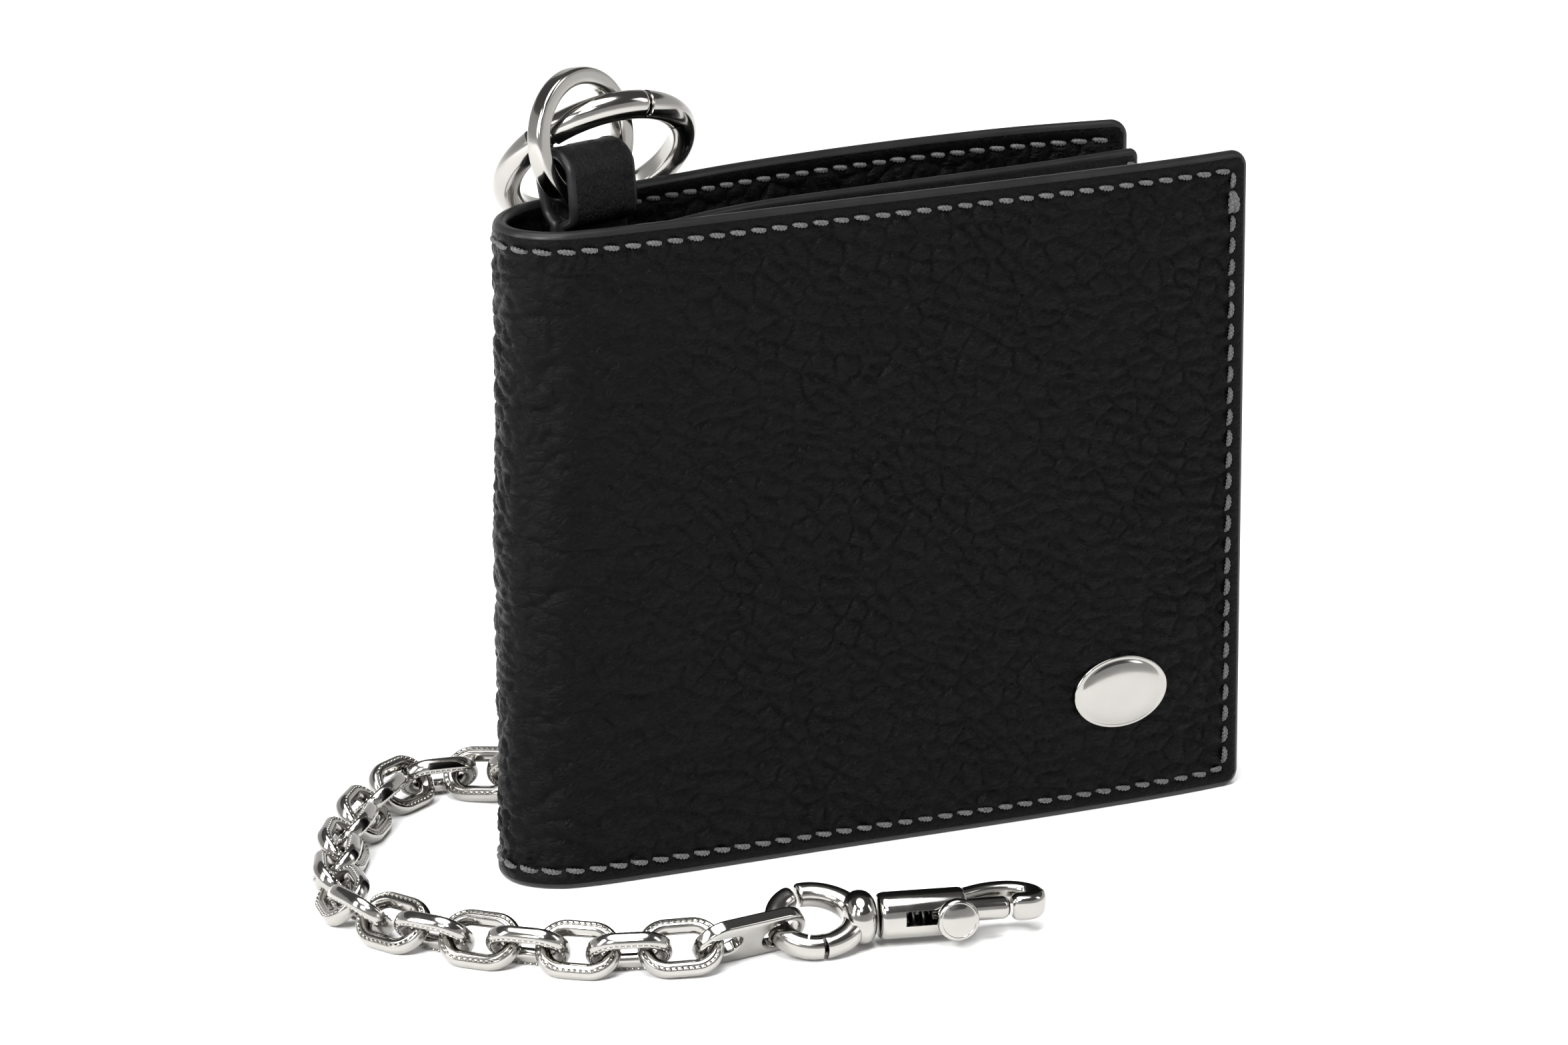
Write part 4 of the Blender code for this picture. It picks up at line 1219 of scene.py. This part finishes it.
def build_clip(metal, steel):
    """Barrel with its hook arm, plunger with its post, thumb knob and spring."""
    place, _ = clip_place()
    arm_side = Vector((0, math.cos(math.radians(8)), math.sin(math.radians(8))))
    arm_up = Vector((1, 0, 0)).cross(arm_side)
    bends = ((9.5, 1.9), (12.7, 3.1), (16.0, 4.2), (19.4, 4.3),
             (21.9, 3.2), (22.7, 1.2), (21.7, 0.0), (18.95, 0.0))
    path = [Vector((x, 0, 0)) + arm_side * y for x, y in bends]
    line = smooth_line(path, 60)
    stations = []
    for i, point in enumerate(line):
        ahead = (line[min(i + 1, len(line) - 1)] - line[max(i - 1, 0)]).normalized()
        out = ahead.cross(arm_up).normalized()
        left = (len(line) - 1 - i) / 4
        tip = 1.0 if left >= 1 else 0.72 + 0.28 * math.sqrt(1 - (1 - left) ** 2)
        swell = 1 + 0.2 * smooth_value((i / len(line) - 0.62) / 0.2)
        section = [(a * tip * swell, b * tip * swell) for a, b in soft_box(2.5, 3.2, 2.7, 32)]
        stations.append((point, out, arm_up, section))
    arm = tube(stations)
    profile = [(0.0, 2.7), (0.12, 2.95), (0.35, 3.15), (0.7, 3.26), (1.1, 3.3),
               (BARREL_LENGTH - 0.9, 3.3), (BARREL_LENGTH - 0.5, 3.24), (BARREL_LENGTH - 0.15, 3.05),
               (BARREL_LENGTH, 2.8)]
    stem = Vector((0, -math.cos(math.radians(KNOB_ELEVATION)), math.sin(math.radians(KNOB_ELEVATION))))
    stem_frame = frame_matrix((0, 0, 0), (1, 0, 0), stem)
    bore = turned([(0.9, 1.95), (BARREL_LENGTH + 4.4, 1.95)], 48)
    slot = placed(box_part(3.4, 11.2, -1.05, 1.05, 0.0, 6.0), stem_frame)
    hook = carved("hook", turned(profile, 72), [arm], [bore, slot], 0.14)
    add_piece("clip_hook_shown", *placed(hook, place), [metal], "clip_hook", "nickel", ("clip_hook",),
              smooth=32)
    end = BARREL_LENGTH + PLUNGER_REACH
    rod = turned([(7.2, 1.35), (7.4, 1.6), (end - 0.85, 1.6), (end - 0.45, 1.42), (end - 0.1, 1.12),
                  (end, 0.9)], 56)
    post_frame = frame_matrix((10.2, 0, 0), stem, Vector((1, 0, 0)))
    post = placed(turned([(0.8, 0.75), (3.95, 0.75)], 32), post_frame)
    metal_piece("clip_plunger_shown", placed(merge(rod, post), place), metal, "clip_plunger",
                ("clip_plunger",))
    k = BARREL_RADIUS + 0.95
    side = [(0.0, 2.3), (0.1, 2.62), (0.3, 2.82), (0.6, 2.93), (1.0, 2.95), (1.35, 2.88), (1.6, 2.72)]
    dome = [(1.72, 2.54), (1.74, 2.42), (1.70, 2.36), (1.74, 2.26), (1.92, 1.9), (2.08, 1.4), (2.18, 0.9),
            (2.23, 0.3)]
    knob = turned([(k + x, radius) for x, radius in side + dome], 72)
    metal_piece("clip_knob_shown", placed(placed(knob, post_frame), place), metal, "clip_plunger",
                ("clip_thumb_knob",), smooth=50)
    build_spring(steel, place)


def build_spring(steel, place):
    """The return spring behind the plunger, built at one fixed length."""
    turns, steps, radius, wire = 4, 28, 1.25, 0.4
    start, end = 1.3, 6.9
    centres = []
    for i in range(turns * steps + 1):
        angle = 2 * math.pi * i / steps
        x = start + (end - start) * i / (turns * steps)
        centres.append(Vector((x, radius * math.cos(angle), radius * math.sin(angle))))
    stations = []
    for i, centre in enumerate(centres):
        along = (centres[min(i + 1, len(centres) - 1)] - centres[max(i - 1, 0)]).normalized()
        out = Vector((0, centre.y, centre.z)).normalized()
        stations.append((centre, out, along.cross(out).normalized(), circle(wire / 2, 12)))
    obj = outward(add_piece("clip_spring_shown", *placed(tube(stations), place), [steel], "clip_hook",
                            "spring_steel", ("clip_spring",), smooth=180))
    along = place.to_3x3() @ Vector((1, 0, 0))
    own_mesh(obj)


def build_emblem(metal):
    """A plain domed oval plate with a fine rim."""
    half_x, half_z = 7.5, 5.3
    rings = [(1.0, 0.0), (1.0, 0.38), (0.985, 0.47), (0.955, 0.5), (0.93, 0.49), (0.915, 0.45), (0.90, 0.46),
             (0.86, 0.62), (0.80, 0.80), (0.70, 0.98), (0.58, 1.12), (0.44, 1.22), (0.28, 1.28), (0.12, 1.3)]
    sides = 96
    verts = []
    for scale, out in rings:
        verts += [Vector((half_x * scale * math.cos(2 * math.pi * i / sides), -out,
                          half_z * scale * math.sin(2 * math.pi * i / sides))) for i in range(sides)]
    faces = strips(len(rings), sides)
    faces.append(tuple(reversed(range(sides))))
    faces.append(tuple((len(rings) - 1) * sides + i for i in range(sides)))
    place = Matrix.Translation((92.5, -0.75, 17.6)) @ Matrix.Rotation(math.radians(0.7), 4, "Z")
    metal_piece("emblem_shown", placed((verts, faces), place), metal, "front_half", ("emblem_plate",),
                smooth=50)


# ---------------------------------------------------------------- stage

def floor_material():
    """Matt off-white."""
    mat, tree, shader = new_material("stage_floor")
    place = tree.nodes.new("ShaderNodeTexCoord")
    tone = node(tree, "ShaderNodeTexNoise", Scale=3.0, Detail=2.0)
    tree.links.new(place.outputs["Object"], tone.inputs["Vector"])
    tree.links.new(ramp(tree, tone.outputs["Fac"], 0.2, 0.8, (0.93, 0.93, 0.93), (0.95, 0.95, 0.95)),
                   shader.inputs["Base Color"])
    shader.inputs["Roughness"].default_value = 0.85
    shader.inputs["Specular IOR Level"].default_value = 0.1
    return mat


def build_stage():
    """A wide pale bowl: a flat floor that bends up into a wall."""
    mesh = bpy.data.meshes.new("stage_floor")
    flat, rim, wall = 7.0, 1.5, 3.0
    profile = [(1.0, 0.0), (3.0, 0.0), (flat, 0.0)]
    turns = [math.radians(a) for a in range(10, 91, 10)]
    profile += [(flat + rim * math.sin(turn), rim - rim * math.cos(turn)) for turn in turns]
    profile.append((flat + rim, rim + wall))
    sides = 64
    verts = [(0.0, 0.0, 0.0)]
    for radius, z in profile:
        verts += [(x, y, z) for x, y in circle(radius, sides)]
    faces = [(0, 1 + k, 1 + (k + 1) % sides) for k in range(sides)]
    for i in range(len(profile) - 1):
        base = 1 + i * sides
        for k in range(sides):
            other = (k + 1) % sides
            faces.append((base + k, base + sides + k, base + sides + other, base + other))
    mesh.from_pydata(verts, [], faces)
    mesh.materials.append(floor_material())
    mesh.shade_smooth()
    linked("stage_floor", mesh)


def area_light(name, place, target, size, tall, power):
    """A rectangular lamp that faces a target."""
    data = bpy.data.lights.new(name, "AREA")
    data.shape = "RECTANGLE"
    data.size, data.size_y = size, tall
    data.energy = power
    obj = linked(name, data)
    obj.location = place
    obj.rotation_euler = (Vector(target) - Vector(place)).to_track_quat("-Z", "Y").to_euler()


def build_lights():
    """Wide soft light from above and four small lamps."""
    world = bpy.data.worlds.new("studio")
    bpy.context.scene.world = world
    world.use_nodes = True
    world.node_tree.nodes["Background"].inputs["Color"].default_value = (1.0, 1.0, 1.0, 1.0)
    world.node_tree.nodes["Background"].inputs["Strength"].default_value = 0.12
    sun = bpy.data.lights.new("overhead", "SUN")
    sun.energy = 3.0
    sun.angle = math.radians(46)
    overhead = linked("overhead", sun)
    overhead.rotation_euler = Vector((-0.14, -0.10, 1.0)).to_track_quat("Z", "Y").to_euler()
    area_light("key_left", (-1.05, 0.0, 0.6), (0, 0, 0.05), 0.3, 0.75, 8.0)
    area_light("spine_side", (-0.9, -0.72, 0.75), (-0.05, -0.01, 0.05), 0.3, 0.4, 17.0)
    area_light("right", (0.75, -0.55, 0.7), (0, 0, 0.04), 0.25, 0.5, 1.5)
    area_light("front_top", (-0.42, -0.85, 1.05), (0, 0, 0.05), 0.3, 0.3, 8.0)


def build_camera():
    """A long lens at a little over the wallet's height, left of its front."""
    data = bpy.data.cameras.new("camera")
    data.lens = 198.5
    data.sensor_width = 36.0
    data.clip_end = 20.0
    obj = linked("camera", data)
    obj.location = (-0.5275, -1.0662, 0.3996)
    obj.rotation_euler = (math.radians(73.16), 0.0, math.radians(-26.0))
    bpy.context.scene.camera = obj


def main():
    """Builds everything."""
    bpy.context.scene.view_settings.view_transform = "Standard"
    leather = leather_material("black_leather", (0.0015, 0.0015, 0.0017), 1.35, 0.55, 0.30, 0.058)
    lining = leather_material("lining_leather", (0.0030, 0.0030, 0.0032), 0.8, 0.6, 0.42, 0.10)
    strap = leather_material("strap_leather", (0.0026, 0.0026, 0.0028), 0.6, 1.0, 0.34, 0.12)
    edge = edge_material()
    thread = thread_material()
    nickel = metal_material("polished_nickel", (0.37, 0.36, 0.34), 0.09, 0.17)
    steel = metal_material("spring_wire", (0.16, 0.16, 0.165), 0.3, 0.4)
    cover = build_cover(leather, edge)
    back, front = build_liners(lining, edge)
    build_seams(cover, back, front, thread)
    build_tab(strap, edge)
    build_o_ring(nickel)
    build_gate_ring(nickel)
    build_links(nickel)
    build_connector("chain_connector_upper", UPPER_HOLE, nickel)
    build_connector("chain_connector_lower", LOWER_HOLE, nickel)
    build_clip_ring(nickel)
    build_clip(nickel, steel)
    build_emblem(nickel)
    build_stage()
    build_lights()
    build_camera()


main()
